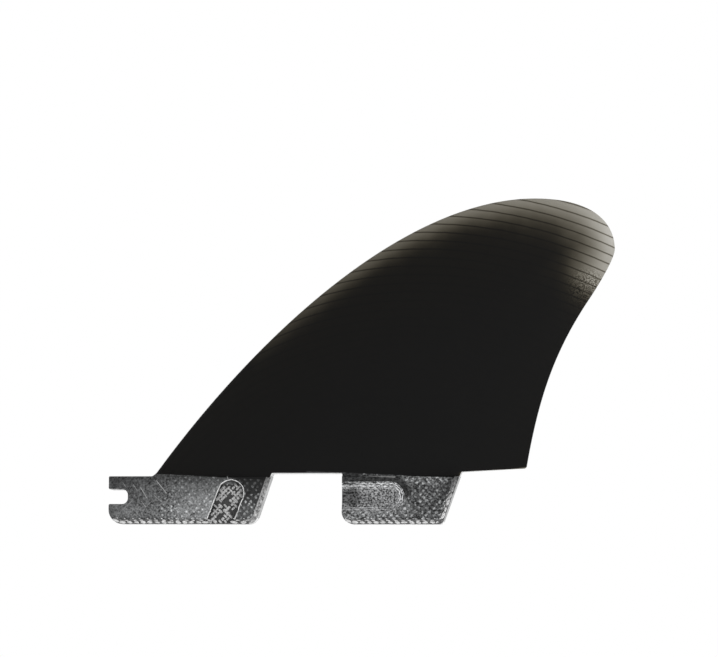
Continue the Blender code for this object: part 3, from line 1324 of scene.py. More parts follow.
@dataclass
class Finishes:
    """Every finish of the fin, made once."""

    blade: Material
    face: Material
    scoop: Material
    groove: Material
    rope_ground: Material
    sawn: Material
    rim: Material
    brick: Material
    rope: Material
    burr: Material
    # The rim's finish made lighter: painted light on faces that look down.
    foot: Material

    @classmethod
    def make(cls) -> "Finishes":
        """Builds all the materials."""
        return cls(
            blade=SmokedLaminate().make(),
            face=TabFace().make(),
            scoop=ScoopCut().make(),
            groove=GlassCut("groove_cut", tone=0.045, grit=2.6).make(),
            rope_ground=GlassCut("bottom_chamfer", tone=0.115, grit=4.5, grit_size=0.7).make(),
            # Pale cut laminate, made lighter still as painted light on rear chamfers, with painted shade
            # near the root.
            sawn=GlassCut(
                "rear_chamfer", tone=0.33, grit=4.2, grit_size=0.8, shade=0.66, shade_low=-9.0
            ).make(),
            rim=GlassCut("laminate_edge", tone=0.43, grit=0.6, grit_size=0.6, ply_lines=0.12).make(),
            brick=GlassCut("glass_roving", tone=0.40, grit=2.6, grit_size=0.5).make(),
            # Pale cut rovings, with painted shade towards the root.
            rope=GlassCut(
                "cut_roving", tone=0.65, grit=2.2, grit_size=0.6, shade=0.82, shade_low=-14.0
            ).make(),
            burr=GlassCut("groove_burr", tone=0.66, grit=2.2, grit_size=0.6).make(),
            # Painted light: a lighter copy of laminate_edge for faces that look down.
            foot=GlassCut("laminate_foot", tone=0.78, grit=0.6, grit_size=0.6, ply_lines=0.12).make(),
        )


# Blade


@dataclass(frozen=True)
class BladeEdges:
    """Leading and trailing edge of the blade in the side view."""

    root_z: float = -1.0 * MM
    nose_x: float = -50.9 * MM
    nose_rake: float = math.radians(54)
    nose_pull: float = 53.5 * MM
    nose_fillet: float = 2.2 * MM
    ledge: float = 0.15 * MM
    crest: Point = (72.3 * MM, 89.0 * MM)
    crest_pull_front: float = 42.4 * MM
    crest_pull_rear: float = 18.8 * MM
    reach: Point = (98.7 * MM, 72.3 * MM)
    reach_pull_up: float = 8.9 * MM
    reach_pull_down: float = 3.0 * MM
    hollow: Point = (90.7 * MM, 56.5 * MM)
    hollow_lean: float = math.radians(33.7)
    hollow_pull_up: float = 4.6 * MM
    hollow_pull_down: float = 19.5 * MM
    tail_x: float = 70.0 * MM
    tail_lean: float = math.radians(9)
    tail_pull: float = 26.8 * MM
    fullness: float = 0.6
    long_steps: int = 240
    short_steps: int = 60

    def lines(self) -> tuple[list[Vector], list[Vector]]:
        """Both edges, each from the root to the middle of the tip's round.

        Returns:
            The leading edge and the trailing edge.
        """
        along, up = Vector((1, 0)), Vector((0, 1))
        rise = turned(self.nose_rake)
        hollow_way = turned(HALF_TURN / 2 - self.hollow_lean)
        tail_way = turned(HALF_TURN / 2 - self.tail_lean)
        corner = Vector((self.nose_x, self.root_z))
        landing = corner - Vector((self.nose_fillet, self.ledge))
        nose = corner + rise * self.nose_fillet
        crest, reach, hollow = Vector(self.crest), Vector(self.reach), Vector(self.hollow)
        tail = Vector((self.tail_x, self.root_z))
        few, many = self.short_steps, self.long_steps
        fillet = bow(landing, (corner - landing) * self.fullness, nose, (corner - nose) * self.fullness, few)
        leading = bow(nose, rise * self.nose_pull, crest, along * -self.crest_pull_front, many)
        tip = bow(crest, along * self.crest_pull_rear, reach, up * self.reach_pull_up, many)
        tip_rear = bow(reach, up * -self.reach_pull_down, hollow, hollow_way * self.hollow_pull_up, few)
        trailing = bow(hollow, hollow_way * -self.hollow_pull_down, tail, tail_way * self.tail_pull, many)
        middle = len(tip) // 2
        front = fillet + leading[1:] + tip[1:middle]
        rear = tip[middle - 1:] + tip_rear[1:] + trailing[1:]
        return front, rear[::-1]


class LoftTool(ShapeTool):
    """Lofts the foil between two edge curves, and notes on it how deep each point lies."""

    inner_crowding = 3

    def __init__(self) -> None:
        """Builds the tree."""
        super().__init__("foil_loft")
        canvas = self.canvas
        front_curve = self.shape_of(self.take("Leading Edge", InputKind.OBJECT))
        rear_curve = self.shape_of(self.take("Trailing Edge", InputKind.OBJECT))
        outer_columns = self.take("Outer Columns", InputKind.COUNT)
        inner_columns = self.take("Inner Columns", InputKind.COUNT)
        stations = self.take("Stations", InputKind.COUNT)
        crowding = self.take("Crowding")
        last = self.take("Last Station")

        columns = outer_columns + inner_columns + 1
        grid = canvas.node(
            "GeometryNodeMeshGrid",
            inputs={"Size X": 1.0, "Size Y": 1.0, "Vertices X": columns + 1, "Vertices Y": stations},
        ).outputs["Mesh"]
        across, along, _ = canvas.split(canvas.node("GeometryNodeInputPosition").outputs[0])
        column = ((across + 0.5) * columns).math("ROUND")
        station = (along + 0.5).at_least(0.0).at_most(1.0) * last
        share = 1 - (1 - station ** crowding) ** crowding

        front = self.sample(front_curve, share)
        rear = self.sample(rear_curve, share)
        chord = canvas.signal(canvas.node(
            "ShaderNodeVectorMath", {"operation": "DISTANCE"}, {0: front, 1: rear}
        ), "Value")
        outer_share = 1 - (column / outer_columns * (HALF_TURN / 2)).math("COSINE")
        inner_run = ((columns - column) / inner_columns).at_least(0.0).at_most(1.0)
        inner_share = inner_run ** self.inner_crowding
        on_inner = column.above(outer_columns + 0.5)
        chord_share = outer_share + (inner_share - outer_share) * on_inner
        level = self.level(share, chord_share, chord, on_inner)

        place = canvas.node(
            "ShaderNodeMix", {"data_type": "VECTOR"}, {0: chord_share, 4: front, 5: rear}
        ).outputs[1]
        x, _, z = canvas.split(place)
        marked = self.note(grid, "chord_share", chord_share)
        lofted = canvas.node(
            "GeometryNodeSetPosition", inputs={"Geometry": marked, "Position": canvas.join(x, level, z)}
        ).outputs[0]
        joined = canvas.node("GeometryNodeMergeByDistance", inputs={"Geometry": lofted, "Distance": WELD})
        self.close(self.note(joined.outputs[0], "edge_depth", self.depth(front_curve, rear_curve)))

    def sample(self, curve: NodeSocket, share: Signal) -> NodeSocket:
        """The point at a share of a curve's length."""
        node = self.canvas.node(
            "GeometryNodeSampleCurve",
            {"mode": "FACTOR", "use_all_curves": True},
            {"Curves": curve, "Factor": share},
        )
        return node.outputs["Position"]

    def note(self, geometry: NodeSocket, name: str, value: Signal) -> NodeSocket:
        """Stores a number on every point under a name."""
        node = self.canvas.node(
            "GeometryNodeStoreNamedAttribute",
            {"data_type": "FLOAT", "domain": "POINT"},
            {"Geometry": geometry, "Name": name, "Value": value},
        )
        return node.outputs[0]

    def level(self, share: Signal, chord_share: Signal, chord: Signal, on_inner: Signal) -> Signal:
        """Where each point lies along Y.

        Args:
            share: how far along the span it is.
            chord_share: how far along the chord.
            chord: the chord's length there.
            on_inner: 1 on the flat inner face.

        Returns:
            The point's Y.
        """
        root = self.take("Root Thickness")
        tip = self.take("Tip Thickness")
        trailing = self.take("Trailing Thickness")
        edge_round = self.take("Inner Edge Round")
        thickest = self.take("Thickest At")
        taper_power = self.take("Taper Power")
        rear_power = self.take("Rear Power")
        rounding = self.take("Tip Rounding")
        inner_face = self.take("Inner Face")

        taper = tip + (root - tip) * (1 - share) ** taper_power
        past = ((share - 1 + rounding) / rounding).at_least(0.0)
        thickness = trailing + (taper - trailing) * (1 - past * past).at_least(0.0).root()

        ahead = ((thickest - chord_share) / thickest).at_least(0.0)
        behind = ((chord_share - thickest) / (1 - thickest)).at_least(0.0)
        full = (1 - ahead * ahead).at_least(0.0).root() - behind ** rear_power
        edge = edge_round + (trailing - edge_round) * chord_share.above(thickest)
        outer = inner_face - edge - (thickness - edge) * full

        inside = (1 - chord * chord_share / edge_round).at_least(0.0)
        inner = inner_face - edge_round * (1 - (1 - inside * inside).at_least(0.0).root())
        return outer + (inner - outer) * on_inner

    def depth(self, front: NodeSocket, rear: NodeSocket) -> Signal:
        """Distance in the side view from the nearest edge of the blade.

        Args:
            front: the leading edge.
            rear: the trailing edge.

        Returns:
            How deep each point lies.
        """
        canvas = self.canvas
        lines = self.tree.nodes.new("GeometryNodeJoinGeometry")
        canvas.feed(lines.inputs[0], front)
        canvas.feed(lines.inputs[0], rear)
        edges = canvas.node("GeometryNodeCurveToMesh", inputs={"Curve": lines.outputs[0]}).outputs[0]
        x, _, z = canvas.split(canvas.node("GeometryNodeInputPosition").outputs[0])
        near = canvas.node("GeometryNodeProximity", {"target_element": "EDGES"}, {0: edges})
        canvas.feed(near.inputs["Sample Position"], canvas.join(x, 0.0, z))
        return canvas.signal(near, "Distance")


@dataclass(frozen=True)
class Foil:
    """The loft's sizes and how finely it is divided."""

    root_thickness: float = 6.1 * MM
    tip_thickness: float = 1.9 * MM
    trailing_thickness: float = 0.9 * MM
    inner_edge_round: float = 0.4 * MM
    thickest_at: float = 0.36
    taper_power: float = 0.85
    rear_power: float = 1.9
    tip_rounding: float = 0.12
    inner_face: float = 3.05 * MM
    outer_columns: int = 56
    inner_columns: int = 14
    stations: int = 180
    crowding: float = 1.25
    last_station: float = 0.9955


@dataclass
class Blade:
    """The foiled blade with its root trimmed for the tabs."""

    edges: BladeEdges = BladeEdges()
    foil: Foil = Foil()
    root_sink: float = 2.5 * MM
    smooth_below: float = math.radians(30)

    def build(self, finishes: Finishes, trims: Sequence[Object]) -> Object:
        """Lofts, trims and dresses the blade.

        Args:
            finishes: the materials.
            trims: what is cut from its root.

        Returns:
            The blade.
        """
        front, rear = self.edges.lines()
        drop = Vector((0, self.root_sink))
        leading = thread_object("leading_edge", lifted([front[0] - drop, *front]))
        trailing = thread_object("trailing_edge", lifted([rear[0] - drop, *rear]))
        mesh = LoftTool().run("fin_blade", {
            **tool_inputs(self.foil),
            "Leading Edge": leading,
            "Trailing Edge": trailing,
            "Material": finishes.blade,
        })
        for line in (leading, trailing):
            bpy.data.objects.remove(line)
        self.close_ends(mesh)
        blade = in_scene("fin_blade", mesh)
        for trim in trims:
            carve(blade, trim)
        return settle(blade, trims, self.smooth_below)

    @staticmethod
    def close_ends(mesh: Mesh) -> None:
        """Closes the open ends of the loft and turns every face outwards.

        Args:
            mesh: the lofted mesh.
        """
        shape = bmesh.new()
        shape.from_mesh(mesh)
        bmesh.ops.remove_doubles(shape, verts=shape.verts, dist=WELD)
        rim = [edge for edge in shape.edges if edge.is_boundary]
        bmesh.ops.holes_fill(shape, edges=rim)
        bmesh.ops.recalc_face_normals(shape, faces=shape.faces)
        shape.to_mesh(mesh)
        shape.free()


# Tabs


@dataclass(frozen=True)
class TabSizes:
    """Sizes that both tabs share."""

    thickness: float = 6.4 * MM
    top_z: float = -1.0 * MM
    bottom_z: float = -16.4 * MM
    shoulder_round: float = 0.4 * MM
    chamfer: float = 1.4 * MM
    rear_chamfer_depth: float = 1.0 * MM
    edge_break: float = 0.3 * MM
    neck_z: float = -1.5 * MM
    ledge: float = 0.15 * MM
    smooth_below: float = math.radians(28)
    round_normals: tuple[float, float] = (-0.95, -0.3)
    top_chamfer_normal: float = 0.3
    front_chamfer_normal: float = -0.35
    rear_chamfer_normal: float = 0.12

    def bevelled(self, name: str, outline: Outline, spare: Corner | None = None) -> Object:
        """Cuts a plate and takes off its edges.

        Args:
            name: the tab's name.
            outline: its outline.
            spare: the far corner of a notch whose edges are only broken, where there is one.

        Returns:
            The tab with a live bevel.
        """
        tab = plate_object(name, outline.points(), self.thickness)
        shape = bmesh.new()
        shape.from_mesh(tab.data)
        weights = shape.edges.layers.float.new("bevel_weight_edge")
        for edge in shape.edges:
            side = next((face for face in edge.link_faces if abs(face.normal.y) < FACING), None)
            cap = next((face for face in edge.link_faces if abs(face.normal.y) > FACING), None)
            if side and cap:
                edge[weights] = self.width(edge, side, spare) / self.chamfer
        shape.to_mesh(tab.data)
        shape.free()
        bevel = tab.modifiers.new("edges", "BEVEL")
        bevel.limit_method = "WEIGHT"
        bevel.width = self.chamfer
        bevel.segments = 1
        bevel.use_clamp_overlap = False
        bevel.material = 1
        return tab

    def width(self, edge: bmesh.types.BMEdge, side: bmesh.types.BMFace, spare: Corner | None) -> float:
        """How much is taken off one edge.

        Args:
            edge: the edge.
            side: the face beside it on the rim.
            spare: the far corner of the notch, where there is one.

        Returns:
            The width of its chamfer.
        """
        middle = (edge.verts[0].co + edge.verts[1].co) / 2
        if spare and middle.z > spare.z - WELD and middle.x < spare.x + WELD:
            return self.edge_break
        if side.normal.z > FACING:
            return self.edge_break
        if side.normal.x > 0:
            return self.chamfer
        return self.edge_break + (self.chamfer - self.edge_break) * max(0.0, -side.normal.z)

    def chamfer_place(self, rim: Vector, outward: Vector, share: float, side: int) -> Vector:
        """A place on the bottom chamfer.

        Args:
            rim: the point of the outline that it belongs to.
            outward: the outline's outward direction there.
            share: how far across it lies, from the side face (0) to the outline (1); a place on
                the side face itself if below 0.
            side: -1 for the outer face and 1 for the inner.

        Returns:
            The place in space.
        """
        rear = outward.x > WELD
        width = self.edge_break + (self.chamfer - self.edge_break) * (1.0 if rear else max(0.0, -outward.y))
        depth = self.rear_chamfer_depth if rear else width
        inner = rim - outward * width * (1 - share)
        return Vector((inner.x, side * (self.thickness / 2 - depth * max(0.0, share)), inner.y))

    def finish(self, tab: Object, helpers: Sequence[Object], finishes: Finishes) -> Object:
        """Settles a cut tab and gives each kind of face its own finish, by where its normal points.

        Args:
            tab: the tab with its live bevel and cuts; its second material marks the bevel.
            helpers: what cuts it.
            finishes: the materials.

        Returns:
            The tab as a plain object.
        """
        done = settle(tab, helpers, self.smooth_below)
        slots = done.data.materials
        face, bevel = 0, 1
        for extra in (finishes.rope_ground, finishes.rim, finishes.foot):
            slots.append(extra)
        rope, rim, foot = range(len(slots) - 3, len(slots))
        round_low, round_high = self.round_normals
        for polygon in done.data.polygons:
            normal = polygon.normal
            on_top, in_front = normal.z > self.top_chamfer_normal, normal.x < self.front_chamfer_normal
            if polygon.material_index == face and abs(normal.y) < FACING:
                on_round = round_low < normal.x < round_high
                # Rims that look down take the lighter foot finish: painted light.
                polygon.material_index = face if on_round else foot if normal.z < -FACING else rim
            # Chamfers that look up or to the front take the darker face finish: painted shade.
            elif polygon.material_index == bevel and (on_top or in_front):
                polygon.material_index = face
            elif polygon.material_index == bevel and normal.x < self.rear_chamfer_normal:
                polygon.material_index = rope
        return done


@dataclass(frozen=True)
class Tab:
    """What both tabs have: an upright front edge, a flat bottom and a raked rear edge."""

    front_x: float
    rear_x: float
    rake: float
    front_round: float
    rear_round: float
    sizes: TabSizes = TabSizes()
    overcut: float = 3.0 * MM
    rope_start: float = math.radians(239.4)
    rope_steps: int = 8

    def rear_at(self, z: float) -> float:
        """Where the raked rear edge is at this level."""
        return self.rear_x + z * math.tan(self.rake)

    def rope_path(self, end_x: float, share: float, side: int) -> list[Vector]:
        """A line along the bottom chamfer that starts in the front round.

        Args:
            end_x: where the line ends.
            share: how far across the chamfer it lies.
            side: -1 for the outer face and 1 for the inner.

        Returns:
            Places in space.
        """
        sizes = self.sizes
        centre = Vector((self.front_x + self.front_round, sizes.bottom_z + self.front_round))
        down = HALF_TURN * 3 / 2
        places = []
        for step in range(self.rope_steps + 1):
            outward = turned(self.rope_start + (down - self.rope_start) * step / self.rope_steps)
            places.append(sizes.chamfer_place(centre + outward * self.front_round, outward, share, side))
        return [*places, sizes.chamfer_place(Vector((end_x, sizes.bottom_z)), turned(down), share, side)]


@dataclass(frozen=True)
class FrontTab(Tab):
    """The long front tab with its horn, its notch and a slanted groove in each face."""

    front_x: float = -64.5 * MM
    rear_x: float = -11.1 * MM
    rake: float = math.radians(18.4)
    front_round: float = 4.5 * MM
    rear_round: float = 3.6 * MM
    notch_top_z: float = -5.2 * MM
    notch_bottom_z: float = -10.0 * MM
    notch_depth: float = 6.3 * MM
    notch_round: float = 1.9 * MM
    lip_round: float = 0.5 * MM
    groove_width: float = 8.5 * MM
    groove_depth: float = 1.2 * MM
    groove_x: float = -28.2 * MM
    groove_rake: float = math.radians(20.7)
    groove_top_z: float = -2.2 * MM
    groove_steps: int = 48

    def outline(self) -> Outline:
        """The tab's outline.

        Returns:
            Its corners and their rounds.
        """
        top, bottom = self.sizes.top_z, self.sizes.bottom_z
        notch_end = self.front_x + self.notch_depth
        return Outline((
            Corner(self.front_x, top, self.sizes.shoulder_round),
            Corner(self.front_x, self.notch_top_z, self.lip_round),
            Corner(notch_end, self.notch_top_z, self.notch_round),
            Corner(notch_end, self.notch_bottom_z, self.notch_round),
            Corner(self.front_x, self.notch_bottom_z, self.lip_round),
            Corner(self.front_x, bottom, self.front_round),
            Corner(self.rear_at(bottom), bottom, self.rear_round),
            Corner(self.rear_at(top), top),
        ))

    def groove_line(self) -> tuple[Vector, Vector]:
        """The groove's middle line.

        Returns:
            Its open foot and the centre of its round end.
        """
        way = turned(HALF_TURN / 2 - self.groove_rake)
        foot = Vector((self.groove_x, self.sizes.bottom_z))
        length = (self.groove_top_z - self.groove_width / 2 - self.sizes.bottom_z) / way.y
        return foot, foot + way * length

    def groove_points(self, level: float) -> list[Vector]:
        """The groove's outline, open at the bottom.

        Args:
            level: the height of its two feet.

        Returns:
            Points from its rear foot round its end to its front foot.
        """
        foot, centre = self.groove_line()
        way = (centre - foot).normalized()
        across = Vector((way.y, -way.x))
        radius = self.groove_width / 2
        turns = (HALF_TURN * step / self.groove_steps for step in range(self.groove_steps + 1))
        arc = [centre + (across * math.cos(turn) + way * math.sin(turn)) * radius for turn in turns]
        rear, front = (end - way * ((end.y - level) / way.y) for end in (arc[0], arc[-1]))
        return [rear, *arc, front]

    def rope_paths(self, share: float, side: int) -> list[list[Vector]]:
        """Lines along the bottom chamfer.

        Args:
            share: how far across the chamfer they lie.
            side: -1 for the outer face and 1 for the inner.

        Returns:
            The line in front of the groove's mouth and the one behind it.
        """
        sizes = self.sizes
        low, down = sizes.bottom_z, turned(-HALF_TURN / 2)
        half_mouth = self.groove_width / 2 / math.cos(self.groove_rake)
        after = Vector((self.groove_x + half_mouth + sizes.edge_break, low))
        last = Vector((self.rear_at(low) - self.rear_round, low))
        return [
            self.rope_path(self.groove_x - half_mouth, share, side),
            [sizes.chamfer_place(spot, down, share, side) for spot in (after, last)],
        ]

    def build(self, finishes: Finishes) -> Object:
        """Cuts and dresses the tab.

        Args:
            finishes: the materials.

        Returns:
            The tab.
        """
        spare = Corner(self.front_x + self.notch_depth, self.notch_bottom_z)
        tab = self.sizes.bevelled("fin_front_tab", self.outline(), spare)
        # The bevel takes the pale cut finish, lighter still as painted light where it faces the rear.
        for finish in (finishes.face, finishes.sawn):
            tab.data.materials.append(finish)
        helpers = []
        points = self.groove_points(self.sizes.bottom_z - self.overcut)
        thick = self.groove_depth + self.overcut
        for side in BOTH_SIDES:
            middle = side * (self.sizes.thickness / 2 + thick / 2 - self.groove_depth)
            cutter = plate_object(f"groove_{side}", points, thick, middle)
            cutter.data.materials.append(finishes.groove)
            carve(tab, cutter)
            helpers.append(cutter)
        return self.sizes.finish(tab, helpers, finishes)


@dataclass(frozen=True)
class RearTab(Tab):
    """The short rear tab with a scoop in each face."""

    front_x: float = 11.5 * MM
    rear_x: float = 49.8 * MM
    rake: float = math.radians(19.6)
    front_round: float = 4.0 * MM
    rear_round: float = 1.7 * MM
    scoop_length: float = 20.3 * MM
    scoop_height: float = 9.6 * MM
    scoop_depth: float = 1.6 * MM
    scoop_top_z: float = -2.8 * MM
    scoop_lift: float = 0.03 * MM
    scoop_segments: int = 96
    scoop_rings: int = 64
    rope_bend: float = 0.8
    rope_end: float = 0.2

    def outline(self) -> Outline:
        """The tab's outline.

        Returns:
            Its corners and their rounds.
        """
        top, bottom = self.sizes.top_z, self.sizes.bottom_z
        return Outline((
            Corner(self.front_x, top),
            Corner(self.front_x, bottom, self.front_round),
            Corner(self.rear_at(bottom), bottom, self.rear_round),
            Corner(self.rear_at(top), top),
        ))

    def rope_paths(self, share: float, side: int) -> list[list[Vector]]:
        """The line along the bottom chamfer and up the rear one.

        Args:
            share: how far across the chamfer it lies.
            side: -1 for the outer face and 1 for the inner.

        Returns:
            That one line.
        """
        sizes = self.sizes
        bottom = self.rope_path(self.rear_at(sizes.bottom_z) - self.rear_round, share, side)
        rear = [
            sizes.chamfer_place(Vector((self.rear_at(z), z)), turned(-self.rake), share, side)
            for z in (sizes.bottom_z + self.rear_round * self.rope_bend, sizes.bottom_z * self.rope_end)
        ]
        return [[*bottom, *rear]]

    def scoop(self, side: int, finish: Material) -> Object:
        """Cutter for the scoop of one face: a flattened ball drawn out to the front.

        Args:
            side: -1 for the outer face and 1 for the inner.
            finish: the material that the cut shows.

        Returns:
            The cutter.
        """
        radius = self.scoop_height / 2
        shape = bmesh.new()
        bmesh.ops.create_uvsphere(
            shape, u_segments=self.scoop_segments, v_segments=self.scoop_rings, radius=radius
        )
        for vert in shape.verts:
            vert.co.y *= self.scoop_depth / radius
            if vert.co.x < -WELD:
                vert.co.x -= self.scoop_length + self.overcut
        centre = Vector((
            self.front_x + self.scoop_length - radius,
            side * (self.sizes.thickness / 2 + self.scoop_lift),
            self.scoop_top_z - radius,
        ))
        bmesh.ops.translate(shape, verts=shape.verts, vec=centre)
        cutter = in_scene(f"scoop_{side}", mesh_of(shape, f"scoop_{side}"))
        cutter.data.materials.append(finish)
        return cutter

    def build(self, finishes: Finishes) -> Object:
        """Cuts and dresses the tab.

        Args:
            finishes: the materials.

        Returns:
            The tab.
        """
        tab = self.sizes.bevelled("fin_rear_tab", self.outline())
        for finish in (finishes.face, finishes.rope_ground):
            tab.data.materials.append(finish)
        helpers = [self.scoop(side, finishes.scoop) for side in BOTH_SIDES]
        for cutter in helpers:
            carve(tab, cutter)
        return self.sizes.finish(tab, helpers, finishes)


@dataclass(frozen=True)
class RootTrims:
    """What is cut from the blade's root: the gap between the tabs and the space behind them."""

    front: FrontTab
    rear: RearTab
    edges: BladeEdges
    heel_rise_front: float = 0.5 * MM
    heel_rise_rear: float = 1.7 * MM
    heel_round: float = 1.0 * MM
    heel_clearing: float = math.radians(8)
    depth: float = 9.0 * MM

    def gap(self) -> Outline:
        """The gap, up to the flat base between the tabs.

        Returns:
            Its outline.
        """
        sizes = self.front.sizes
        neck, low = sizes.neck_z, -self.depth
        wall = self.rear.front_x + sizes.ledge
        return Outline((
            Corner(self.front.rear_at(low) - sizes.chamfer - sizes.ledge, low),
            Corner(wall + sizes.edge_break, low),
            Corner(wall + sizes.edge_break, neck),
            Corner(wall, neck),
            Corner(wall, 0, sizes.shoulder_round),
            Corner(self.front.rear_at(0) - sizes.ledge, 0, sizes.shoulder_round),
            Corner(self.front.rear_at(neck) - sizes.ledge, neck),
            Corner(self.front.rear_at(neck) - sizes.chamfer - sizes.ledge, neck),
        ))

    def heel(self) -> Outline:
        """The space behind the rear tab, up to the rising underside of the overhang.

        Returns:
            Its outline.
        """
        sizes, ledge = self.rear.sizes, self.rear.sizes.ledge
        neck, low = sizes.neck_z, -self.depth
        lean = self.edges.tail_lean
        corner = Vector((
            self.edges.tail_x + (self.heel_rise_rear - sizes.top_z) * math.tan(lean),
            self.heel_rise_rear,
        ))
        clear = corner + turned(HALF_TURN / 2 - lean - self.heel_clearing) * 2 * self.heel_round
        beyond = self.edges.tail_x + self.depth
        start_z = self.heel_rise_front
        return Outline((
            Corner(self.rear.rear_at(low) - sizes.chamfer - ledge, low),
            Corner(beyond, low),
            Corner(beyond, clear.y),
            Corner(clear.x, clear.y),
            Corner(corner.x, corner.y, self.heel_round),
            Corner(self.rear.rear_at(start_z) - ledge, start_z, sizes.shoulder_round),
            Corner(self.rear.rear_at(neck) - ledge, neck),
            Corner(self.rear.rear_at(neck) - sizes.chamfer - ledge, neck),
        ))

    def build(self, finish: Material) -> list[Object]:
        """Makes both cutters.

        Args:
            finish: the material that the cuts show.

        Returns:
            The cutters.
        """
        made = []
        for name, outline in (("gap", self.gap()), ("heel", self.heel())):
            cutter = plate_object(name, outline.points(), self.depth)
            cutter.data.materials.append(finish)
            made.append(cutter)
        return made


# Rovings that the cutter laid bare


class RopeTool(ShapeTool):
    """Lays a row of small lenses along a line, each lying in a slanting plane."""

    smallest = (0.78, 0.8, 0.7)
    largest = (1.15, 1.1, 1.15)
    place_seed = 7
    segments = 8
    rings = 4

    def __init__(self) -> None:
        """Builds the tree."""
        super().__init__("rope_row")
        canvas = self.canvas
        path = self.shape_of(self.take("Path", InputKind.OBJECT))
        pitch = self.take("Pitch")
        phase = self.take("Phase")
        length, width, height = self.take("Length"), self.take("Width"), self.take("Height")
        slant, tilt = self.take("Slant"), self.take("Tilt")
        drift, swing = self.take("Drift"), self.take("Swing")
        seed = self.take("Seed", InputKind.COUNT)
        chance = canvas.node(
            "FunctionNodeRandomValue", {"data_type": "FLOAT_VECTOR"},
            {0: (-1.0, -1.0, -1.0), 1: (1.0, 1.0, 1.0), "Seed": seed + self.place_seed},
        )
        strayed, swung, _ = canvas.split(chance.outputs[0])
        row = canvas.node("GeometryNodeResampleCurve", {"mode": "LENGTH"}, {"Curve": path, "Length": pitch})
        tangent = canvas.node("GeometryNodeInputTangent").outputs[0]
        x, _, z = canvas.split(tangent)
        shift = canvas.node("ShaderNodeVectorMath", {"operation": "SCALE"}, {
            0: tangent, "Scale": phase + strayed * drift,
        })
        moved = canvas.node(
            "GeometryNodeSetPosition", inputs={"Geometry": row.outputs[0], "Offset": shift.outputs[0]}
        )
        ball = canvas.node("GeometryNodeMeshUVSphere", inputs={
            "Segments": self.segments, "Rings": self.rings, "Radius": 0.5,
        })
        lens = canvas.node("GeometryNodeTransform", inputs={
            "Geometry": ball.outputs[0],
            "Rotation": canvas.join(0.0, slant, 0.0),
            "Scale": canvas.join(length, height, width),
        })
        uneven = canvas.node(
            "FunctionNodeRandomValue", {"data_type": "FLOAT_VECTOR"},
            {0: self.smallest, 1: self.largest, "Seed": seed},
        )
        placed = canvas.node("GeometryNodeInstanceOnPoints", inputs={
            "Points": moved.outputs[0],
            "Instance": lens.outputs[0],
            "Rotation": canvas.join(tilt, swung * swing - z.math("ARCTAN2", x), 0.0),
            "Scale": uneven.outputs[0],
        })
        self.close(placed.outputs[0])


class BrickTool(ShapeTool):
    """Lays crossed bricks of roving on the floor of a groove with a round end.

    A dark gap without bricks crosses the groove in an uneven arch.
    """

    smallest = (0.7, 0.7, 0.7)
    largest = (1.3, 1.1, 1.3)
    lost_share = 0.10
    gap_arch = 0.6
    gap_lean = 0.5
    edge_crease = 0.45

    def __init__(self) -> None:
        """Builds the tree."""
        super().__init__("groove_bricks")
        canvas = self.canvas
        foot = self.take("Foot X"), self.take("Foot Z")
        run = self.take("Run X"), self.take("Run Z")
        reach, lowest, floor = self.take("Reach"), self.take("Lowest Z"), self.take("Floor Y")
        pitch, count = self.take("Pitch"), self.take("Count", InputKind.COUNT)
        size = canvas.join(self.take("Length"), self.take("Height"), self.take("Width"))
        gap, gap_half, bare = self.take("Gap"), self.take("Gap Half"), self.take("Bare Wall")
        seed = self.take("Seed", InputKind.COUNT)

        index = canvas.signal(canvas.node("GeometryNodeInputIndex"))
        column = ((index + 0.5) / count).math("FLOOR")
        row = index - column * count
        middle = (count - 1) * 0.5
        across = (column - middle) * pitch / math.sqrt(2)
        along = (row - middle) * pitch / math.sqrt(2)
        x = foot[0] + run[0] * 0.5 + across + along
        z = foot[1] + run[1] * 0.5 + across - along

        length = (run[0] * run[0] + run[1] * run[1]).root()
        share = ((x - foot[0]) * run[0] + (z - foot[1]) * run[1]) / (length * length)
        held = share.at_most(1.0)
        off_x = x - foot[0] - run[0] * held
        off_z = z - foot[1] - run[1] * held
        off = (off_x * off_x + off_z * off_z).root()
        lean = (off_x * run[1] - off_z * run[0]) / length
        arch = abs(lean) * self.gap_arch + lean.at_least(0.0) * self.gap_lean
        from_gap = abs(share * length - gap + arch)
        # Bricks are left out by the rear wall, so the dark floor shows there as the wall's painted shade.
        bare_wall = (lean - reach + bare).at_least(0.0) * (1 - share).at_least(0.0)
        kept = (reach - off).above(0.0) * (z - lowest).above(0.0) * (from_gap - gap_half).above(0.0)
        kept = kept * (1 - bare_wall.above(0.0))

        points = canvas.node(
            "GeometryNodePoints", inputs={"Count": count * count, "Position": canvas.join(x, floor, z)}
        )
        chance = canvas.node(
            "FunctionNodeRandomValue", {"data_type": "FLOAT"}, {2: 0.0, 3: 1.0, "Seed": seed}
        )
        uneven = canvas.node(
            "FunctionNodeRandomValue", {"data_type": "FLOAT_VECTOR"},
            {0: self.smallest, 1: self.largest, "Seed": seed},
        )
        crossed = ((column + row) * 0.5).fraction() * HALF_TURN
        block = canvas.node("GeometryNodeMeshCube", inputs={"Size": (1.0, 1.0, 1.0)})
        worn = canvas.node(
            "GeometryNodeSubdivisionSurface",
            inputs={"Mesh": block.outputs[0], "Level": 1, "Edge Crease": self.edge_crease},
        )
        brick = canvas.node("GeometryNodeTransform", inputs={"Geometry": worn.outputs[0], "Scale": size})
        placed = canvas.node("GeometryNodeInstanceOnPoints", inputs={
            "Points": points.outputs[0],
            "Selection": kept * canvas.signal(chance, 1).above(self.lost_share),
            "Instance": brick.outputs[0],
            "Rotation": canvas.join(0.0, crossed - HALF_TURN / 4, 0.0),
            "Scale": uneven.outputs[0],
        })
        self.close(placed.outputs[0])


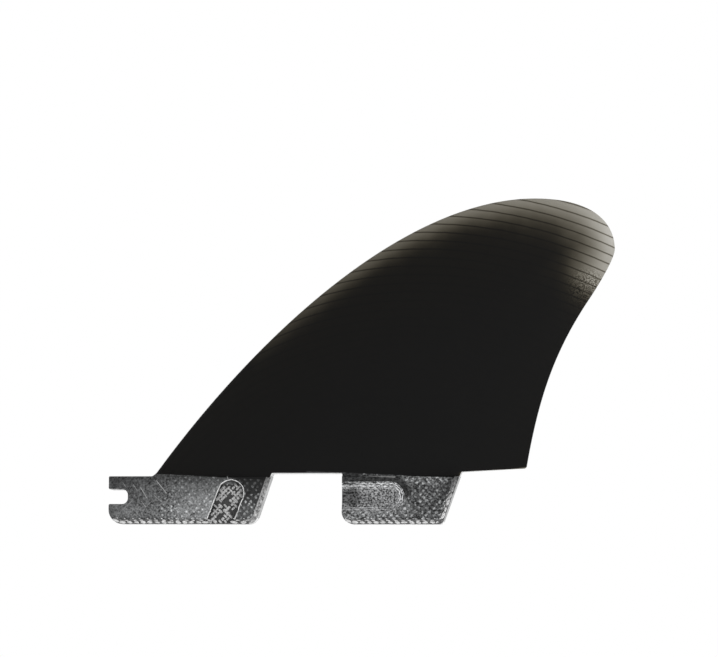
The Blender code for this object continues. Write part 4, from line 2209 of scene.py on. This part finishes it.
class BurrTool(ShapeTool):
    """Draws an uneven raised thread along a line."""

    step_share = 0.3
    swell_range = (0.3, 0.7)
    thinnest = 0.45
    swelling = 0.9
    sides = 6

    def __init__(self) -> None:
        """Builds the tree."""
        super().__init__("burr")
        canvas = self.canvas
        path = self.shape_of(self.take("Path", InputKind.OBJECT))
        radius, waver, grain = self.take("Radius"), self.take("Waver"), self.take("Grain")
        step = grain * self.step_share
        fine = canvas.node("GeometryNodeResampleCurve", {"mode": "LENGTH"}, {"Curve": path, "Length": step})
        place = canvas.node("GeometryNodeInputPosition").outputs[0]
        blots = canvas.node(
            "ShaderNodeTexNoise", inputs={"Vector": place, "Scale": 1 / grain, "Detail": 2.0}
        )
        across, _, up = canvas.split(blots.outputs[1])
        offset = canvas.join((across - 0.5) * waver, 0.0, (up - 0.5) * waver)
        moved = canvas.node(
            "GeometryNodeSetPosition", inputs={"Geometry": fine.outputs[0], "Offset": offset}
        )
        swell = canvas.signal(blots).rise(*self.swell_range) * self.swelling + self.thinnest
        swollen = canvas.node(
            "GeometryNodeSetCurveRadius", inputs={"Curve": moved.outputs[0], "Radius": swell}
        )
        ring = canvas.node(
            "GeometryNodeCurvePrimitiveCircle", {"mode": "RADIUS"},
            {"Resolution": self.sides, "Radius": radius},
        )
        tube = canvas.node(
            "GeometryNodeCurveToMesh",
            inputs={"Curve": swollen.outputs[0], "Profile Curve": ring.outputs[0], "Fill Caps": True},
        )
        self.close(tube.outputs[0])


def joined(name: str, meshes: Sequence[Mesh], finish: Material, smooth_below: float) -> Object:
    """One plain object of many meshes.

    Args:
        name: its name.
        meshes: the meshes, which are removed.
        finish: their material.
        smooth_below: the angle up to which neighbouring faces are shaded as one.

    Returns:
        The object, linked to the scene.
    """
    shape = bmesh.new()
    for mesh in meshes:
        shape.from_mesh(mesh)
        bpy.data.meshes.remove(mesh)
    whole = mesh_of(shape, name)
    whole.materials.append(finish)
    return dressed_object(name, whole, smooth_below)


@dataclass(frozen=True)
class RopeRow:
    """One row of rovings along a bottom chamfer, and how far across the chamfer it lies."""

    share: float
    phase: float
    length: float
    width: float
    height: float
    slant: float
    tilt: float
    drift: float
    seed: int
    pitch: float = 2.25 * MM
    swing: float = math.radians(9)

    def inputs(self, side: int) -> dict[str, object]:
        """The tool's inputs for this face."""
        return {**tool_inputs(self), "Tilt": -side * self.tilt}


@dataclass(frozen=True)
class Bricks:
    """Sizes of the crossed bricks in the grooves and of the dark gap between them."""

    pitch: float = 1.18 * MM
    length: float = 1.6 * MM
    width: float = 0.78 * MM
    height: float = 0.26 * MM
    count: int = 20
    gap: float = 7.75 * MM
    gap_half: float = 0.60 * MM
    # Width of the strip without bricks by the rear wall, which stands for the wall's painted shade.
    bare_wall: float = 0.7 * MM


@dataclass(frozen=True)
class Burr:
    """Sizes of the raised thread round a groove's mouth."""

    radius: float = 0.19 * MM
    waver: float = 0.45 * MM
    grain: float = 0.9 * MM


@dataclass(frozen=True)
class BaredRovings:
    """The rovings that the cutter laid bare on both faces of the tabs."""

    front: FrontTab
    rear: RearTab
    rows: tuple[RopeRow, ...] = (
        RopeRow(
            share=0.60, phase=0.0, length=2.2 * MM, width=1.2 * MM, height=0.28 * MM,
            slant=math.radians(8), tilt=math.radians(45), drift=0.12 * MM, seed=1,
        ),
        RopeRow(
            share=0.14, phase=1.1 * MM, length=1.35 * MM, width=0.34 * MM, height=0.24 * MM,
            slant=math.radians(6), tilt=math.radians(28), drift=0.3 * MM, seed=2,
        ),
        RopeRow(
            share=-0.20, phase=0.2 * MM, length=0.7 * MM, width=0.24 * MM, height=0.10 * MM,
            slant=math.radians(14), tilt=0.0, drift=0.4 * MM, seed=3,
        ),
    )
    brick: Bricks = Bricks()
    brick_margin: float = 0.6 * MM
    brick_seed: int = 5
    thread: Burr = Burr()
    thread_sink: float = 0.11 * MM
    smooth_below: float = math.radians(60)

    def build(self, finishes: Finishes) -> list[Object]:
        """Builds every piece.

        Args:
            finishes: the materials.

        Returns:
            The rows of the two tabs, the groove's bricks and its burr.
        """
        return [
            self.rope("fin_front_tab_rope", self.front, finishes.rope),
            self.rope("fin_rear_tab_rope", self.rear, finishes.rope),
            self.bricks(finishes.brick),
            self.burr(finishes.burr),
        ]

    def rope(self, name: str, tab: FrontTab | RearTab, finish: Material) -> Object:
        """The rows along one tab's bottom chamfers.

        Args:
            name: the piece's name.
            tab: the tab.
            finish: the material.

        Returns:
            The piece.
        """
        tool = RopeTool()
        meshes = []
        for side in BOTH_SIDES:
            for row in self.rows:
                for path in tab.rope_paths(row.share, side):
                    line = thread_object("rope_line", path)
                    meshes.append(tool.run(name, {**row.inputs(side), "Path": line, "Material": finish}))
                    bpy.data.objects.remove(line)
        return joined(name, meshes, finish, self.smooth_below)

    def bricks(self, finish: Material) -> Object:
        """The crossed bricks on the floors of the front tab's grooves.

        Args:
            finish: their material.

        Returns:
            The piece.
        """
        foot, centre = self.front.groove_line()
        floor = self.front.sizes.thickness / 2 - self.front.groove_depth
        tool = BrickTool()
        meshes = [tool.run("bricks", {
            **tool_inputs(self.brick),
            "Foot X": foot.x,
            "Foot Z": foot.y,
            "Run X": centre.x - foot.x,
            "Run Z": centre.y - foot.y,
            "Reach": self.front.groove_width / 2 - self.brick_margin,
            "Lowest Z": self.front.sizes.bottom_z + self.brick_margin,
            "Floor Y": side * floor,
            "Seed": self.brick_seed + side,
            "Material": finish,
        }) for side in BOTH_SIDES]
        return joined("fin_groove_bricks", meshes, finish, self.smooth_below)

    def burr(self, finish: Material) -> Object:
        """The pale burr round the mouths of the front tab's grooves.

        Args:
            finish: its material.

        Returns:
            The piece.
        """
        sizes = self.front.sizes
        points = self.front.groove_points(sizes.bottom_z + sizes.chamfer)
        tool = BurrTool()
        meshes = []
        for side in BOTH_SIDES:
            level = side * (sizes.thickness / 2 - self.thread_sink)
            line = thread_object("burr_line", lifted(points, level))
            meshes.append(tool.run("burr", {**tool_inputs(self.thread), "Path": line, "Material": finish}))
            bpy.data.objects.remove(line)
        return joined("fin_groove_burr", meshes, finish, self.smooth_below)


# Studio


@dataclass(frozen=True)
class Camera:
    """The camera, at the angle of the photograph."""

    azimuth: float = math.radians(7.5)
    elevation: float = math.radians(-6)
    roll: float = math.radians(0.44)
    distance: float = 1.2
    target: Triple = (16.35 * MM, 0.0, 46.87 * MM)
    frame_width: float = 231.8 * MM
    sensor_width: float = 36.0
    clip_start: float = 0.05
    clip_end: float = 50.0

    def build(self) -> Object:
        """Makes the camera and puts the scene under it.

        Returns:
            The camera.
        """
        back = Vector((
            math.sin(self.azimuth) * math.cos(self.elevation),
            -math.cos(self.azimuth) * math.cos(self.elevation),
            math.sin(self.elevation),
        ))
        data = bpy.data.cameras.new("camera")
        data.sensor_width = self.sensor_width
        data.lens = self.sensor_width * self.distance / self.frame_width
        data.clip_start = self.clip_start
        data.clip_end = self.clip_end
        camera = in_scene("camera", data)
        camera.location = Vector(self.target) + back * self.distance
        camera.rotation_mode = "QUATERNION"
        roll = Quaternion(Vector((0, 0, 1)), self.roll)
        camera.rotation_quaternion = (-back).to_track_quat("-Z", "Y") @ roll
        bpy.context.scene.camera = camera
        return camera


@dataclass(frozen=True)
class SoftBox:
    """One large soft square lamp."""

    name: str
    place: Triple
    power: float
    size: float = 1.2

    def build(self, aim: Vector) -> Object:
        """Makes the lamp, which no glossy face mirrors.

        Args:
            aim: the point that it faces.

        Returns:
            The lamp.
        """
        data = bpy.data.lights.new(self.name, "AREA")
        data.shape = "SQUARE"
        data.size = self.size
        data.energy = self.power
        lamp = in_scene(self.name, data)
        lamp.visible_glossy = False
        lamp.location = self.place
        lamp.rotation_mode = "QUATERNION"
        lamp.rotation_quaternion = (aim - Vector(self.place)).to_track_quat("-Z", "Y")
        return lamp


@dataclass(frozen=True)
class Studio:
    """Plain soft light, a pale floor well under the fin and a white backdrop."""

    floor_z: float = -0.13
    floor_radius: float = 4.0
    floor_sides: int = 96
    floor_tone: float = 0.88
    floor_roughness: float = 0.9
    floor_specular: float = 0.1
    floor_fade: Fade = Fade(350.0, 1200.0)
    aim: Triple = (0.016, 0.0, 0.04)
    room_level: float = 0.34
    mirrored_level: float = 0.30
    lamps: tuple[SoftBox, ...] = (
        SoftBox("lamp_front_left", (-1.3, -1.3, 1.1), power=21.0),
        SoftBox("lamp_front_right", (1.6, -1.0, 0.5), power=17.0),
        SoftBox("lamp_back_left", (-1.1, 1.5, 0.9), power=17.0),
        SoftBox("lamp_back_right", (1.3, 1.3, 0.8), power=17.0),
    )

    def build(self) -> Object:
        """Makes the light, the backdrop and the floor.

        Returns:
            The floor.
        """
        for lamp in self.lamps:
            lamp.build(Vector(self.aim))
        self.light_room()
        return self.lay_floor()

    def light_room(self) -> None:
        """Sets the world: a pale room that the camera sees as white.

        Glossy rays see the room a little darker than it lights, because the fin is black and satin.
        """
        world = bpy.data.worlds.new("room")
        bpy.context.scene.world = world
        world.use_nodes = True
        canvas = Canvas(world.node_tree)
        mirrored = canvas.signal(canvas.node("ShaderNodeLightPath"), "Is Glossy Ray")
        level = self.room_level + mirrored * (self.mirrored_level - self.room_level)
        level = level + (1 - level) * self.seen(canvas)
        background = world.node_tree.nodes["Background"]
        background.inputs["Color"].default_value = grey(1.0)
        canvas.feed(background.inputs["Strength"], level)

    def lay_floor(self) -> Object:
        """Lays a round pale floor that fades into the white backdrop.

        Returns:
            The floor.
        """
        shape = bmesh.new()
        bmesh.ops.create_circle(
            shape, cap_ends=True, segments=self.floor_sides, radius=self.floor_radius
        )
        bmesh.ops.translate(shape, verts=shape.verts, vec=(0.0, 0.0, self.floor_z))
        material, canvas, shader = start_material("pale_floor")
        shader.inputs["Base Color"].default_value = grey(self.floor_tone)
        shader.inputs["Roughness"].default_value = self.floor_roughness
        shader.inputs["Specular IOR Level"].default_value = self.floor_specular
        surface = Surface.of(canvas)
        far = self.floor_fade.of((surface.x * surface.x + surface.y * surface.y).root())
        white = canvas.node("ShaderNodeEmission", inputs={"Color": grey(1.0), "Strength": 1.0})
        blend = canvas.node("ShaderNodeMixShader", inputs={
            0: far * self.seen(canvas), 1: shader.outputs[0], 2: white.outputs[0],
        })
        output = material.node_tree.nodes["Material Output"]
        canvas.feed(output.inputs["Surface"], blend.outputs[0])
        floor = in_scene("floor", mesh_of(shape, "floor"))
        floor.data.materials.append(material)
        return floor

    @staticmethod
    def seen(canvas: Canvas) -> Signal:
        """1 for rays that should meet plain white: the camera's own and those through glass."""
        ways = canvas.node("ShaderNodeLightPath")
        return canvas.signal(ways, "Is Camera Ray").at_least(canvas.signal(ways, "Is Transmission Ray"))


def carry(piece: Object) -> None:
    """Hands a finished piece to the frame.

    Args:
        piece: a piece that stands for part of the fin.
    """
    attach(piece, BODY)
    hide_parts(NODE)
    LOG.info("%s: %d faces", piece.name, len(piece.data.polygons))


def main() -> None:
    """Builds the fin's looks and the studio round it."""
    logging.basicConfig(level=logging.INFO, format="%(message)s")
    bpy.context.scene.view_settings.view_transform = "Standard"
    finishes = Finishes.make()
    front = FrontTab()
    rear = RearTab()
    blade = Blade()
    # The cuts in the root show the lighter foot finish, which is painted light.
    trims = RootTrims(front, rear, blade.edges).build(finishes.foot)
    pieces = [blade.build(finishes, trims), front.build(finishes), rear.build(finishes)]
    for piece in (*pieces, *BaredRovings(front, rear).build(finishes)):
        carry(piece)
    Camera().build()
    Studio().build()


if __name__ == "__main__":
    main()
